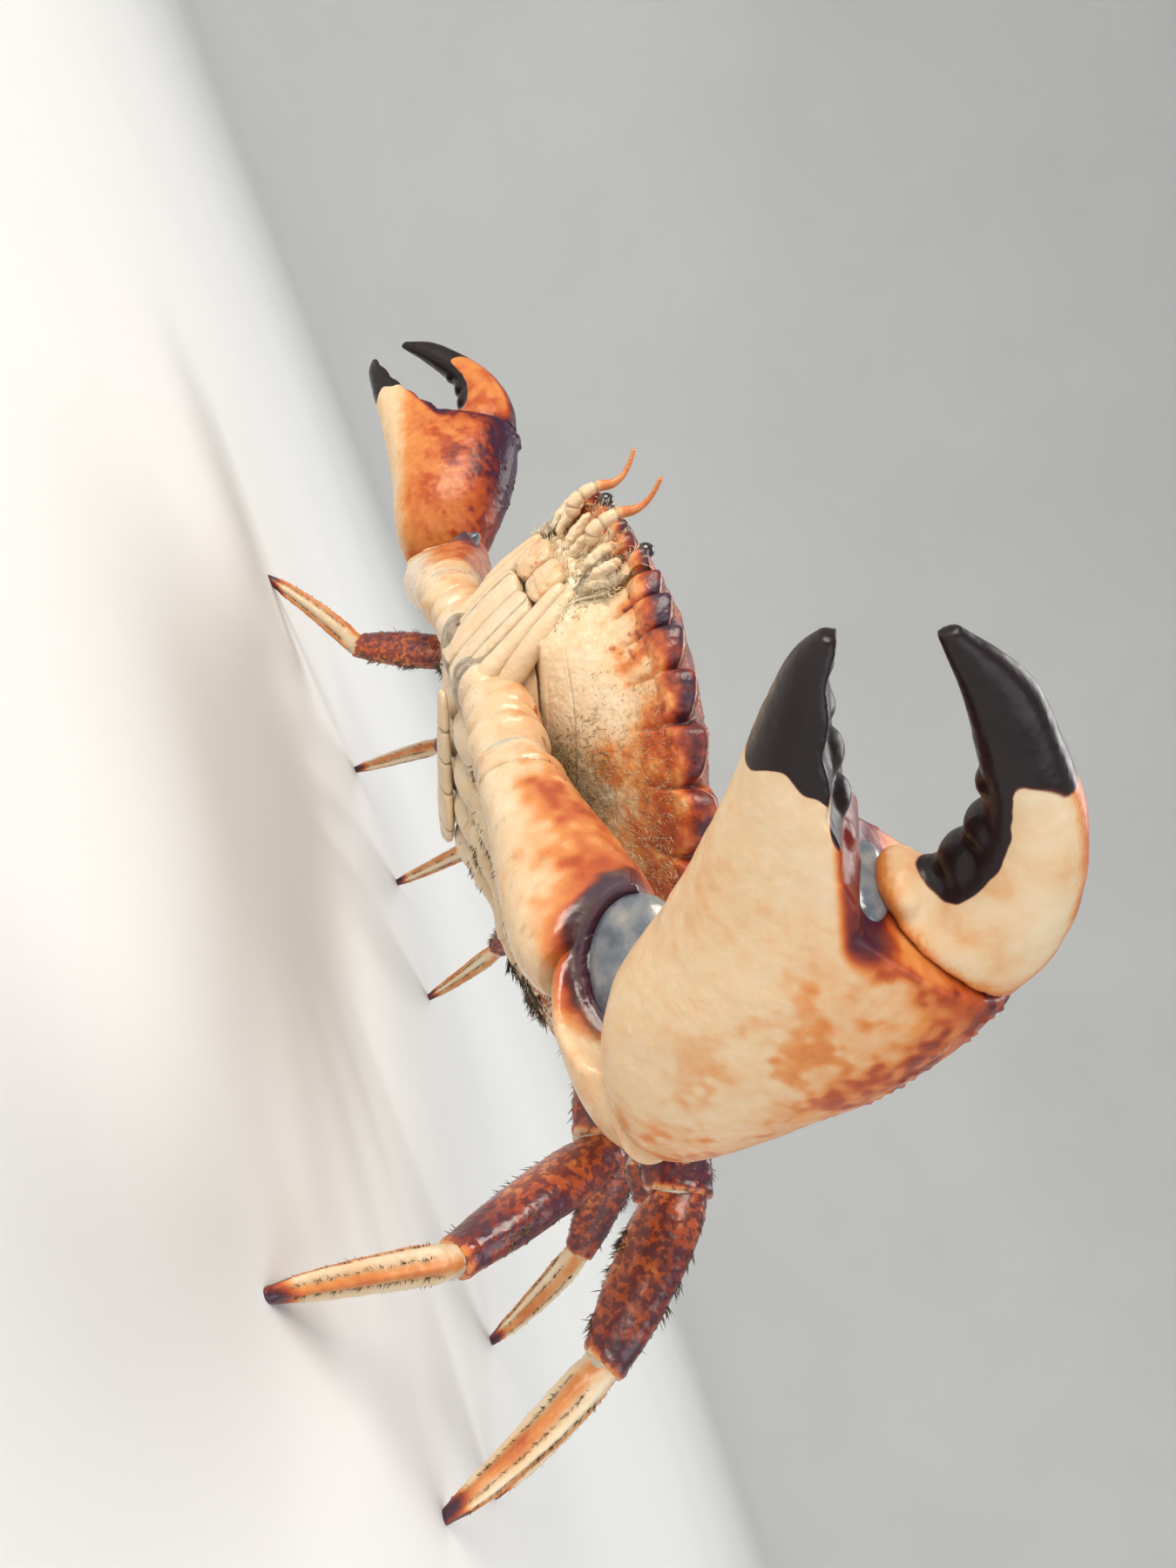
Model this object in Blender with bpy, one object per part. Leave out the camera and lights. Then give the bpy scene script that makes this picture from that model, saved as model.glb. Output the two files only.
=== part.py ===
"""Rock crab as a still, life-size model, standing on its eight walking legs, claws held open.

Lengths are in millimetres and angles in degrees until MM turns them into Blender's metres.
The body frame has +X to the crab's left, +Y to its rear and +Z out of its back, and starts in
the middle of the plane of the carapace's edge. The world has the floor at z = 0.
Directions that run along both sides are given for the left and mirrored for the right.
"""

from math import atan2, cos, exp, hypot, pi, radians, sin

import bmesh
import bpy
from mathutils import Matrix, Vector

MM = 0.001
GAP = 0.3
SHARP_ANGLE = 40.0

# Stance
BODY_PITCH = 18.0
BODY_HEIGHT = 80.0

# Carapace
EDGE_HALF_WIDTH = 66.5
EDGE_DEPTH = 53.0
EDGE_CENTRE_Y = 10.5
DOME_HEIGHT = 13.5
DOME_CENTRE_Y = -3.0
DOME_SHARES = (0.14, 0.34, 0.54, 0.71, 0.84, 0.93, 0.98)
DOME_FALL = 2.3
DOME_FULLNESS = 0.95
REAR_DROP = 6.0
DROP_START_Y = 8.0
DROP_LENGTH = 38.0
REAR_HALF_WIDTH = 23.0
REAR_Y = 46.5
REAR_POINTS_X = (17.0, 10.5, 4.0)
REAR_SIDE_BOW = (3.0, 3.3)
REAR_SIDE_STEPS = 9

# Side lobes: sizes of the first and last, and one lobe's shape as shares of length and height
LOBES = 7
LOBES_START_X = 23.4
FIRST_LOBE = 6.8
LAST_LOBE = 15.4
FIRST_LOBE_HEIGHT = 2.6
LAST_LOBE_HEIGHT = 4.8
LOBE_SHAPE = ((0.0, 0.0), (0.12, 0.62), (0.3, 1.0), (0.58, 0.86), (0.84, 0.52))
LOBE_LEAN = 0.25
LOBE_LIFT = 0.7

# Front edge from the middle outward, as x and y: small teeth, the eye's notch, one more tooth
FRONT_BASE_Y = -41.7
FRONT_BASE_SLOPE = 0.04
FRONT_TEETH = ((0.0, -45.4), (1.9, -44.6), (2.9, -43.0), (4.6, -44.8), (6.2, -44.4),
               (7.4, -42.6), (9.4, -43.8), (11.6, -43.2))
EYE_NOTCH = ((13.0, -41.0), (14.6, -39.1), (16.6, -38.6), (18.6, -39.1), (19.8, -40.8))
OUTER_TOOTH = ((20.9, -44.2), (22.4, -43.2))
OUTER_TOOTH_BASE_Y = -41.4

# Swellings and grooves of the back: x, y, width, length and height of each
RELIEF = (
    (0.0, -20.0, 17.0, 13.0, 1.5),
    (36.0, 2.0, 17.0, 19.0, 1.3),
    (-36.0, 2.0, 17.0, 19.0, 1.3),
    (0.0, 17.0, 10.0, 9.0, 1.1),
    (17.0, 3.0, 4.0, 14.0, -1.0),
    (-17.0, 3.0, 4.0, 14.0, -1.0),
)
RELIEF_FADE = 5.0

# Rim under the edge, as drop and share of the lobes kept, and the underside inward of it
EDGE_THICKNESS = 5.6
RIM = ((2.4, 0.9), (4.4, 0.5), (EDGE_THICKNESS, 0.0))
UNDERSIDE_RINGS = ((0.34, 1.5), (0.67, 1.4), (1.0, 0.0))
UNDERSIDE_DEPTH = 22.0
UNDERSIDE_HALF_WIDTH = 30.5
UNDERSIDE_HALF_LENGTH = 37.0
UNDERSIDE_CENTRE_Y = 3.0
UNDERSIDE_SQUARENESS = 2.5

# Thorax: where the limbs root along each side, and how far out its top edge reaches there
STERNUM_DEPTH = 38.0
ROOT_Y = (-17.0, -4.0, 7.6, 17.6, 27.0, 35.5)
ROOT_X = (22.0, 28.0, 29.0, 27.5, 24.0, 18.5)
ROOT_SLOPE = 9.0
THORAX_REAR_TOP = (9.0, 38.5)
THORAX_REAR_BOTTOM = (5.0, 37.5)

# Field of the mouth and the outer mouth legs that lie on it
MOUTH_REAR_Y = -7.2
MOUTH_FRONT_Y = -36.0
MOUTH_TOP = 12.0
MOUTH_HALF_WIDTH = 12.5
MOUTH_PLATE_START = 5.0
MOUTH_PLATE_LENGTH = 32.0
MOUTH_PLATE_THICKNESS = 3.0
MOUTH_PLATE_WIDTH = 11.6
MOUTH_PLATE_FORM = ((0, 2.0, 8.1, 0), (0.1, 3.0, 11.6, 0), (0.6, 3.0, 11.6, 0),
                    (0.9, 2.7, 9.3, 0), (1, 1.6, 5.8, 0))

# Abdomen, folded forward under the sternum
ABDOMEN_REAR_Y = 34.5
ABDOMEN_TIP_Y = -5.0
ABDOMEN_THICKNESS = 2.6
ABDOMEN_FORM = ((0, 2.6, 13.0, 0), (0.2, 2.6, 16.5, 0), (0.45, 2.6, 11.0, 0),
                (0.8, 2.6, 8.0, 0), (1, 1.6, 3.0, 0))

# Eyes and feelers
EYE_ROOT = (16.6, -39.1, 0.2)
EYE_TIP = (17.0, -44.2, 1.3)
EYE_FORM = ((0, 2.9, 2.7, 0), (0.35, 3.0, 2.8, 0), (0.62, 4.2, 3.9, 0), (0.85, 3.6, 3.4, 0),
            (1, 1.2, 1.2, 0))
FEELER_ROOT = (9.0, -41.06, -8.16)
FEELER_NORMAL = (0.0, -0.88, -0.47)
FEELER_PATH = ((0, 0, 0), (0.2, -2.6, -0.6), (0.4, -5.0, 1.6), (0.3, -6.6, 4.8),
               (0.2, -7.2, 8.2), (0.5, -8.8, 10.6), (1.0, -11.4, 12.2), (1.7, -14.4, 13.2))
FEELER_WIDTHS = (3.4, 3.4, 3.0, 2.6, 2.0, 1.3, 1.1, 0.9)

# Walking legs, first to fourth: lengths of coxa with ischium, merus, carpus, propodus, dactyl
LEG_LENGTHS = (
    (20.0, 46.0, 25.0, 32.0, 34.0),
    (20.0, 46.0, 25.0, 32.0, 34.0),
    (19.0, 44.0, 24.0, 31.0, 33.0),
    (17.0, 38.0, 21.0, 27.0, 30.0),
)
LEG_BULK = (1.0, 1.0, 0.95, 0.85)

# Directions of each leg's coxa, merus, carpus, propodus and dactyl, ahead of sideways
LEG_AZIMUTHS = {
    "L": ((-14.0, -20.0, -10.0, 25.0, 60.0), (-22.0, -32.0, -27.0, -18.0, -12.0),
          (-34.0, -45.0, -43.0, -40.0, -38.0), (-52.0, -63.0, -64.0, -66.0, -68.0)),
    "R": ((-18.0, -28.0, -14.0, 22.0, 62.0), (-26.0, -38.0, -33.0, -26.0, -20.0),
          (-38.0, -50.0, -49.0, -46.0, -44.0), (-54.0, -66.0, -67.0, -68.0, -69.0)),
}
# Rise of each leg's coxa and merus, and how much each joint beyond bends further down
COXA_RISE = -6.0
LEG_RISE = (6.0, 15.0, 14.0, 13.0)
LEG_BENDS = ((38.0, -24.0), (38.0, 22.0), (34.0, 22.0), (32.0, 22.0))

# Leg pieces: name, rings, material and stations of share, height, width and lift
LEG_FORMS = (
    ("merus", 5, "leg_shell", ((0, 9.5, 6.4, 0), (0.25, 14.0, 7.4, 0.6), (0.6, 15.5, 8.0, 0.8),
                               (0.88, 14.2, 8.0, 0.4), (1, 11.0, 6.8, 0))),
    ("carpus", 4, "leg_shell", ((0, 9.0, 6.6, 0), (0.35, 12.0, 8.0, 0.4),
                                (0.75, 13.4, 8.2, 0.6), (1, 11.4, 7.2, 0))),
    ("propodus", 4, "leg_shell", ((0, 11.0, 7.0, 0), (0.3, 12.6, 7.6, 0.3),
                                  (0.7, 11.4, 7.0, 0.2), (1, 8.0, 5.8, 0))),
    ("dactyl", 5, "leg_tip", ((0, 7.4, 5.6, 0), (0.3, 6.8, 5.2, 0.8), (0.7, 4.8, 3.8, 0.8),
                              (1, 2.4, 2.4, 0))),
)
# The coxa: height and margin from its neighbours where it roots, then height and width
COXA_ROOT = ((0, 13.5, 0.8), (0.3, 12.5, 1.2))
COXA_END = ((0.6, 9.5, 7.4, 0), (1, 10.0, 6.6, 0))

# Claw arms in the body frame: ends of coxa, merus and carpus, then the claw's own directions
ARM_LEFT = {
    "joints": ((46.0, -10.5, -32.0), (99.5, -5.0, -27.5), (122.3, 1.5, -23.3)),
    "reach": (0.307, -0.882, 0.357),
    "back": (0.258, 0.438, 0.861),
}
ARM_RIGHT = {
    "joints": ((-45.0, -9.5, -32.0), (-95.0, 4.5, -26.0), (-122.2, 12.2, -22.7)),
    "reach": (-0.747, -0.655, 0.114),
    "back": (0.178, -0.032, 0.983),
}
ARM_FORMS = (
    ("coxa", 5, ((0, 14.5, 12.4, 0), (0.3, 15.0, 13.0, 0), (0.55, 14.0, 13.0, 0),
                 (0.75, 16.5, 15.0, 0), (1, 16.0, 14.4, 0))),
    ("merus", 6, ((0, 15.6, 14.4, 0), (0.3, 18.0, 17.0, 0), (0.7, 24.0, 18.5, 0),
                  (0.9, 25.0, 19.0, 0), (1, 21.0, 18.0, 0))),
    ("carpus", 5, ((0, 16.0, 14.6, 0), (0.35, 24.0, 21.0, 0.5), (0.7, 25.0, 23.0, 0.8),
                   (1, 17.0, 16.0, 0))),
)

# Claw outlines from the side: share, lower edge, upper edge and width, with edges along and up
PALM_STATIONS = (
    (0.00, 0.0, -8.0, 0.0, 8.0, 15.0),
    (0.12, 4.0, -12.8, 4.0, 11.5, 21.0),
    (0.25, 10.5, -16.0, 12.0, 15.5, 25.5),
    (0.42, 22.5, -17.2, 26.0, 20.8, 28.5),
    (0.58, 34.8, -18.2, 42.0, 23.4, 27.0),
    (0.68, 45.0, -19.8, 53.5, 20.5, 23.0),
    (0.78, 56.0, -22.2, 64.0, 4.0, 17.5),
    (0.88, 66.5, -25.0, 71.5, -9.0, 12.0),
    (0.95, 73.5, -26.2, 76.0, -18.0, 7.5),
    (1.00, 78.2, -25.2, 78.8, -22.6, 3.0),
)
DACTYL_STATIONS = (
    (0.0, 51.9, 1.5, 49.2, 23.2, 17.0),
    (0.2, 56.0, 4.5, 57.5, 22.6, 16.0),
    (0.4, 62.5, 5.0, 66.0, 19.1, 14.0),
    (0.6, 69.0, 2.5, 74.0, 12.8, 11.0),
    (0.8, 75.5, -4.0, 81.0, 3.2, 8.0),
    (0.92, 80.5, -10.0, 85.0, -4.5, 5.5),
    (1.0, 84.0, -15.5, 86.0, -14.0, 2.4),
)
CLAW_SQUARENESS = 2.3
WRIST_FADE = 22.0

# The cut that frees the fixed finger: the palm's end, then the finger's toothed edge
GAPE_CORNER = (52.0, -2.5)
HINGE_TOP = (47.5, 34.0)
FINGER_DROP = 38.0
FINGER_LENGTH = 37.0
FINGER_SAG = 2.6
TOOTH_HEIGHT = 1.5
TEETH = 5
STEPS_A_TOOTH = 4
TEETH_FADE = 0.6
DACTYL_TEETH_FROM = 0.15
DACTYL_TEETH_TO = 0.95
CUTTER_CORNERS = ((120.0, -40.0), (120.0, 40.0))
CUTTER_HALF_WIDTH = 20.0

# Outline sides and squareness of limb pieces
LEG_SIDES = 10
ARM_SIDES = 12
PALM_SIDES = 14
PLATE_SIDES = 12
FEELER_SIDES = 8
LIMB_SQUARENESS = 2.3
PLATE_SQUARENESS = 3.5
PALM_RINGS = 15
DACTYL_RINGS = 14
MOUTH_PLATE_RINGS = 6
ABDOMEN_RINGS = 7
EYE_RINGS = 6

MATERIALS = {
    "carapace_shell": ((0.42, 0.10, 0.05), 0.35),
    "sternum_shell": ((0.82, 0.70, 0.52), 0.40),
    "mouth_shell": ((0.78, 0.62, 0.42), 0.45),
    "arm_shell": ((0.80, 0.45, 0.24), 0.35),
    "claw_shell": ((0.84, 0.62, 0.36), 0.32),
    "claw_finger": ((0.06, 0.03, 0.03), 0.25),
    "leg_shell": ((0.55, 0.20, 0.10), 0.38),
    "leg_tip": ((0.45, 0.28, 0.16), 0.45),
    "eye": ((0.01, 0.01, 0.01), 0.12),
    "feeler": ((0.80, 0.32, 0.08), 0.50),
}

BODY = Matrix.Translation((0, 0, BODY_HEIGHT)) @ Matrix.Rotation(radians(-BODY_PITCH), 4, "X")
UP = Vector((0, 0, 1))


def in_body(point):
    """World position, in millimetres, of a point of the body frame."""
    return BODY @ Vector(point)


def turned(direction):
    """World direction of a direction of the body frame."""
    return BODY.to_3x3() @ Vector(direction)


def blend(a, b, t):
    return a + (b - a) * t


def smooth_step(t):
    t = min(1.0, max(0.0, t))
    return t * t * (3 - 2 * t)


def curve(stations, t):
    """Values at t on a smooth curve through stations of (t, value, value, ...)."""
    last = len(stations) - 1
    k = 0
    while k < last - 1 and t > stations[k + 1][0]:
        k += 1
    before, here = stations[max(k - 1, 0)], stations[k]
    there, after = stations[k + 1], stations[min(k + 2, last)]
    span = there[0] - here[0]
    f = (t - here[0]) / span
    values = []
    for i in range(1, len(here)):
        start = (there[i] - before[i]) / (there[0] - before[0]) * span
        end = (after[i] - here[i]) / (after[0] - here[0]) * span
        values.append((2 * f**3 - 3 * f**2 + 1) * here[i] + (f**3 - 2 * f**2 + f) * start
                      + (3 * f**2 - 2 * f**3) * there[i] + (f**3 - f**2) * end)
    return values


def steps(count):
    return [k / count for k in range(count + 1)]


def round_section(sides, power):
    """Unit outline of an ellipse, or squarer above a power of 2, as (across, up) pairs."""
    outline = []
    for k in range(sides):
        angle = 2 * pi * (k + 0.5) / sides
        c, s = cos(angle), sin(angle)
        outline.append((abs(c) ** (2 / power) * (1 if c > 0 else -1),
                        abs(s) ** (2 / power) * (1 if s > 0 else -1)))
    return outline


def material(name):
    found = bpy.data.materials.get(name)
    if found:
        return found
    colour, roughness = MATERIALS[name]
    made = bpy.data.materials.new(name)
    made.use_nodes = True
    shader = made.node_tree.nodes["Principled BSDF"]
    shader.inputs["Base Color"].default_value = (*colour, 1)
    shader.inputs["Roughness"].default_value = roughness
    shader.inputs["Metallic"].default_value = 0.0
    made.diffuse_color = (*colour, 1)
    return made


def solid(name, rings, slot, origin, apex=None):
    """One closed object from rings of points, capped flat, or up to an apex before the first."""
    mesh = bmesh.new()
    loops = [[mesh.verts.new((Vector(p) - origin) * MM) for p in ring] for ring in rings]
    count = len(rings[0])
    for lower, upper in zip(loops, loops[1:]):
        for k in range(count):
            j = (k + 1) % count
            mesh.faces.new((lower[k], lower[j], upper[j], upper[k]))
    mesh.faces.new(loops[-1])
    if apex is None:
        mesh.faces.new(loops[0])
    else:
        middle = mesh.verts.new((apex - origin) * MM)
        for k in range(count):
            mesh.faces.new((loops[0][k], loops[0][(k + 1) % count], middle))
    bmesh.ops.recalc_face_normals(mesh, faces=mesh.faces)
    data = bpy.data.meshes.new(name)
    mesh.to_mesh(data)
    mesh.free()
    data.shade_smooth()
    data.set_sharp_from_angle(angle=radians(SHARP_ANGLE))
    data.materials.append(material(slot))
    piece = bpy.data.objects.new(name, data)
    piece.location = origin * MM
    bpy.context.scene.collection.objects.link(piece)
    return piece


def section_at(point, axis, up, height, width, outline):
    """One ring of points about a point, with its height as near to up as the axis allows."""
    side = axis.cross(up).normalized()
    top = side.cross(axis)
    return [point + side * (a * width / 2) + top * (b * height / 2) for a, b in outline]


def shorn(rings, start, end, plane_start, plane_end):
    """Rings of a straight limb piece moved along it so that it ends on the two planes."""
    axis = (end - start).normalized()
    length = (end - start).length
    moved = []
    for ring in rings:
        new = []
        for point in ring:
            along = (point - start).dot(axis)
            foot = point - axis * along
            low, high = [(spot - foot).dot(normal) / axis.dot(normal)
                         for spot, normal in (plane_start, plane_end)]
            new.append(foot + axis * blend(low, high, along / length))
        moved.append(new)
    return moved


def limb_piece(name, ends, planes, up, stations, slot, ring_count, sides, power):
    """A straight limb piece. Its stations are (share of length, height, width, lift)."""
    start, end = ends
    axis = (end - start).normalized()
    top = axis.cross(up).normalized().cross(axis)
    outline = round_section(sides, power)
    rings = []
    for t in steps(ring_count):
        height, width, lift = curve(stations, t)
        rings.append(section_at(start.lerp(end, t) + top * lift, axis, up, height, width, outline))
    return solid(name, shorn(rings, start, end, *planes), slot, start)


def joint_planes(points):
    """Planes that halve the bend at each inner joint, as spots before and after it, normal."""
    ways = [(b - a).normalized() for a, b in zip(points, points[1:])]
    halves = []
    for k in range(1, len(ways)):
        normal = (ways[k - 1] + ways[k]).normalized()
        halves.append((points[k] - normal * GAP / 2, points[k] + normal * GAP / 2, normal))
    return halves


def clear():
    for item in list(bpy.data.objects):
        bpy.data.objects.remove(item, do_unlink=True)


def edge_height(y):
    """Height of the carapace's edge, which droops behind the middle."""
    return -REAR_DROP * smooth_step((y - DROP_START_Y) / DROP_LENGTH)


def edge_spot(angle):
    """Plan position on the smooth arc along the carapace's front and sides."""
    return EDGE_HALF_WIDTH * sin(angle), EDGE_CENTRE_Y - EDGE_DEPTH * cos(angle)


def lobe_lift(base, edge):
    """How far a side lobe's edge rises above the notches beside it."""
    return LOBE_LIFT * hypot(edge[0] - base[0], edge[1] - base[1]) * (abs(base[0]) > LOBES_START_X)


def front_outline():
    """Edge from the middle of the front to the first side lobe, as (base, edge) pairs."""
    pairs = [((x, FRONT_BASE_Y + FRONT_BASE_SLOPE * x), (x, y)) for x, y in FRONT_TEETH]
    pairs += [((x, y), (x, y)) for x, y in EYE_NOTCH]
    pairs += [((x, OUTER_TOOTH_BASE_Y), (x, y)) for x, y in OUTER_TOOTH]
    return pairs


def lobe_outline():
    """Edge along the side lobes, each rising fast from its front notch and leaning forward."""
    pairs = []
    across = LOBES_START_X / EDGE_HALF_WIDTH
    angle = atan2(across, (1 - across**2) ** 0.5)
    for k in range(LOBES):
        share = k / (LOBES - 1)
        length = blend(FIRST_LOBE, LAST_LOBE, share)
        height = blend(FIRST_LOBE_HEIGHT, LAST_LOBE_HEIGHT, share)
        speed = hypot(EDGE_HALF_WIDTH * cos(angle), EDGE_DEPTH * sin(angle))
        turn = length / speed
        for t, rise in LOBE_SHAPE:
            a = angle + turn * t
            base = edge_spot(a)
            out = Vector((EDGE_DEPTH * sin(a), -EDGE_HALF_WIDTH * cos(a))).normalized()
            lean = Vector((out.y, -out.x)) * LOBE_LEAN
            push = (out + lean) * height * rise
            pairs.append((base, (base[0] + push.x, base[1] + push.y)))
        angle += turn
    return pairs, angle


def rear_outline(angle):
    """Edge from behind the last lobe round to beside the middle of the rear."""
    start = Vector(edge_spot(angle))
    corner = Vector((REAR_HALF_WIDTH, REAR_Y - 1.0))
    bow = Vector(REAR_SIDE_BOW)
    points = [start.lerp(corner, t) + bow * sin(pi * t) for t in steps(REAR_SIDE_STEPS)]
    points += [Vector((x, REAR_Y)) for x in REAR_POINTS_X]
    return [((p.x, p.y), (p.x, p.y)) for p in points]


def carapace_outline():
    """The whole edge, left half then right, as (base, edge) pairs of plan positions."""
    lobes, angle = lobe_outline()
    half = front_outline() + lobes + rear_outline(angle)
    half.append(((0.0, REAR_Y), (0.0, REAR_Y)))
    mirrored = [((-b[0], b[1]), (-e[0], e[1])) for b, e in reversed(half[1:-1])]
    return half + mirrored


def relief(x, y):
    """Gentle swellings of the back over stomach, gills and heart, with grooves between."""
    return sum(height * exp(-((x - mid_x) / wide) ** 2 - ((y - mid_y) / long) ** 2)
               for mid_x, mid_y, wide, long, height in RELIEF)


def mouth_y(z):
    """How far forward the sloping field of the mouth lies at height z of the body frame."""
    slope = (MOUTH_FRONT_Y - MOUTH_REAR_Y) / (STERNUM_DEPTH - MOUTH_TOP)
    return MOUTH_REAR_Y + slope * (z + STERNUM_DEPTH)


def underside_point(base):
    """Where the carapace's underside ends, inward of a point of its edge."""
    angle = atan2(base[1] - UNDERSIDE_CENTRE_Y, base[0])
    c, s = cos(angle), sin(angle)
    power = UNDERSIDE_SQUARENESS
    reach = (abs(c / UNDERSIDE_HALF_WIDTH) ** power
             + abs(s / UNDERSIDE_HALF_LENGTH) ** power) ** (-1 / power)
    return reach * c, UNDERSIDE_CENTRE_Y + reach * s


def back_ring(outline, share):
    """Ring of the back between its middle at share 0 and its edge at share 1."""
    ring = []
    for base, _ in outline:
        x = base[0] * share
        y = blend(DOME_CENTRE_Y, base[1], share)
        z = edge_height(base[1]) * share**3 + DOME_HEIGHT * (1 - share**DOME_FALL) ** DOME_FULLNESS
        z += relief(x, y) * min(1.0, (1 - share) * RELIEF_FADE)
        ring.append((x, y, z))
    return ring


def underside_ring(outline, share, bulge):
    """Ring of the underside between the rim at share 0 and the thorax at share 1."""
    ring = []
    for base, _ in outline:
        inner = underside_point(base)
        z = blend(edge_height(base[1]) - EDGE_THICKNESS, -UNDERSIDE_DEPTH, share) - bulge
        x = blend(base[0], inner[0], share)
        y = max(blend(base[1], inner[1], share), mouth_y(z))
        ring.append((x, y, z))
    return ring


def build_carapace():
    outline = carapace_outline()
    rings = [back_ring(outline, share) for share in DOME_SHARES]
    rings.append([(e[0], e[1], edge_height(e[1]) + lobe_lift(b, e)) for b, e in outline])
    for drop, keep in RIM:
        rings.append([(blend(b[0], e[0], keep), blend(b[1], e[1], keep),
                       edge_height(e[1]) + lobe_lift(b, e) * keep - drop) for b, e in outline])
    rings += [underside_ring(outline, share, bulge) for share, bulge in UNDERSIDE_RINGS]
    apex = (0, DOME_CENTRE_Y, DOME_HEIGHT + relief(0, DOME_CENTRE_Y))
    rings = [[in_body(p) for p in ring] for ring in rings]
    solid("carapace", rings, "carapace_shell", in_body((0, 0, 0)), apex=in_body(apex))


def build_thorax():
    top, bottom = -UNDERSIDE_DEPTH - GAP, -STERNUM_DEPTH
    upper = [(MOUTH_HALF_WIDTH, mouth_y(top))] + list(zip(ROOT_X, ROOT_Y)) + [THORAX_REAR_TOP]
    lower = [(MOUTH_HALF_WIDTH, mouth_y(bottom))]
    lower += [(x - ROOT_SLOPE, y) for x, y in zip(ROOT_X, ROOT_Y)] + [THORAX_REAR_BOTTOM]
    rings = []
    for half, z in ((upper, top), (lower, bottom)):
        ring = [(x, y, z) for x, y in half] + [(-x, y, z) for x, y in reversed(half)]
        rings.append([in_body(p) for p in ring])
    solid("thorax", rings, "sternum_shell", in_body((0, 0, 0)))


def limb_root(index, side):
    """Middle and outward normal, in the world, of the thorax's face for one pair of limbs."""
    x0, x1 = ROOT_X[index:index + 2]
    y0, y1 = ROOT_Y[index:index + 2]
    top, bottom = -UNDERSIDE_DEPTH - GAP, -STERNUM_DEPTH
    along = Vector((x1 - x0, y1 - y0, 0))
    down = Vector((-ROOT_SLOPE, 0, bottom - top))
    normal = along.cross(down).normalized()
    if normal.x < 0:
        normal = -normal
    middle = Vector(((x0 + x1 - ROOT_SLOPE) / 2, (y0 + y1) / 2, (top + bottom) / 2))
    middle.x *= side
    normal.x *= side
    return in_body(middle), turned(normal)


def way(azimuth, rise, side):
    """World direction of a limb piece, ahead of sideways by azimuth and upward by rise."""
    a, e = radians(azimuth), radians(rise)
    return Vector((side * cos(a) * cos(e), -sin(a) * cos(e), sin(e)))


def leg_joints(index, side):
    """Joints of one walking leg, bent down beyond its merus until the tip is on the floor."""
    root, _ = limb_root(index + 1, side)
    azimuths = LEG_AZIMUTHS["L" if side > 0 else "R"][index]
    first, second = LEG_BENDS[index]
    low, high = -90.0, 40.0
    while True:
        bend = (low + high) / 2
        rises = (COXA_RISE, LEG_RISE[index], bend, bend - first, bend - first - second)
        points = [root]
        for length, azimuth, rise in zip(LEG_LENGTHS[index], azimuths, rises):
            points.append(points[-1] + way(azimuth, rise, side) * length)
        if high - low < 1e-6:
            return points
        if points[-1].z > 0:
            high = bend
        else:
            low = bend


def scaled(stations, bulk):
    return tuple((share, *(value * bulk for value in values)) for share, *values in stations)


def build_leg(index, side):
    label = ("L" if side > 0 else "R") + str(index + 1)
    points = leg_joints(index, side)
    root, normal = limb_root(index + 1, side)
    halves = joint_planes(points)
    begins = [(root + normal * GAP, normal)] + [(after, way) for _, after, way in halves]
    ends = [(before, way) for before, _, way in halves] + [(Vector((0, 0, 0)), UP)]
    bulk = LEG_BULK[index]
    face = ROOT_Y[index + 2] - ROOT_Y[index + 1]
    coxa = tuple((share, height, face - margin, 0) for share, height, margin in COXA_ROOT)
    forms = [("coxa", 3, "leg_shell", coxa + scaled(COXA_END, bulk))]
    forms += [(part, rings, slot, scaled(form, bulk)) for part, rings, slot, form in LEG_FORMS]
    for k, (part, rings, slot, stations) in enumerate(forms):
        limb_piece(f"leg_{label}_{part}", points[k:k + 2], (begins[k], ends[k]), UP, stations,
                   slot, rings, LEG_SIDES, LIMB_SQUARENESS)


def build_arm(arm, side):
    label = "L" if side > 0 else "R"
    root, normal = limb_root(0, side)
    points = [root] + [in_body(p) for p in arm["joints"]]
    reach = turned(arm["reach"]).normalized()
    back = turned(arm["back"])
    back = (back - reach * back.dot(reach)).normalized()
    wrist = points[-1]
    halves = joint_planes(points + [wrist + reach])
    begins = [(root + normal * GAP, normal)] + [(after, way) for _, after, way in halves]
    ends = [(before, way) for before, _, way in halves]
    for k, (part, rings, stations) in enumerate(ARM_FORMS):
        limb_piece(f"arm_{label}_{part}", points[k:k + 2], (begins[k], ends[k]), UP, stations,
                   "arm_shell", rings, ARM_SIDES, LIMB_SQUARENESS)
    build_palm(label, wrist, reach, back, begins[-1])
    rings = claw_rings(DACTYL_STATIONS, DACTYL_RINGS, ARM_SIDES, wrist, reach, back, TEETH)
    solid(f"arm_{label}_dactyl", rings, "claw_finger", wrist)


def claw_rings(stations, count, sides, wrist, reach, back, teeth):
    """Rings of a claw piece between its lower and upper edges, with teeth along the lower."""
    across = reach.cross(back)
    outline = round_section(sides, CLAW_SQUARENESS)
    rings = []
    for t in steps(count):
        low_a, low_b, up_a, up_b, width = curve(stations, t)
        low = wrist + reach * low_a + back * low_b
        top = wrist + reach * up_a + back * up_b
        if teeth and DACTYL_TEETH_FROM < t < DACTYL_TEETH_TO:
            low += (low - top).normalized() * TOOTH_HEIGHT * abs(sin(pi * teeth * t))
        middle, half = (low + top) / 2, (top - low) / 2
        rings.append([middle + across * (u * width / 2) + half * v for u, v in outline])
    return rings


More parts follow.
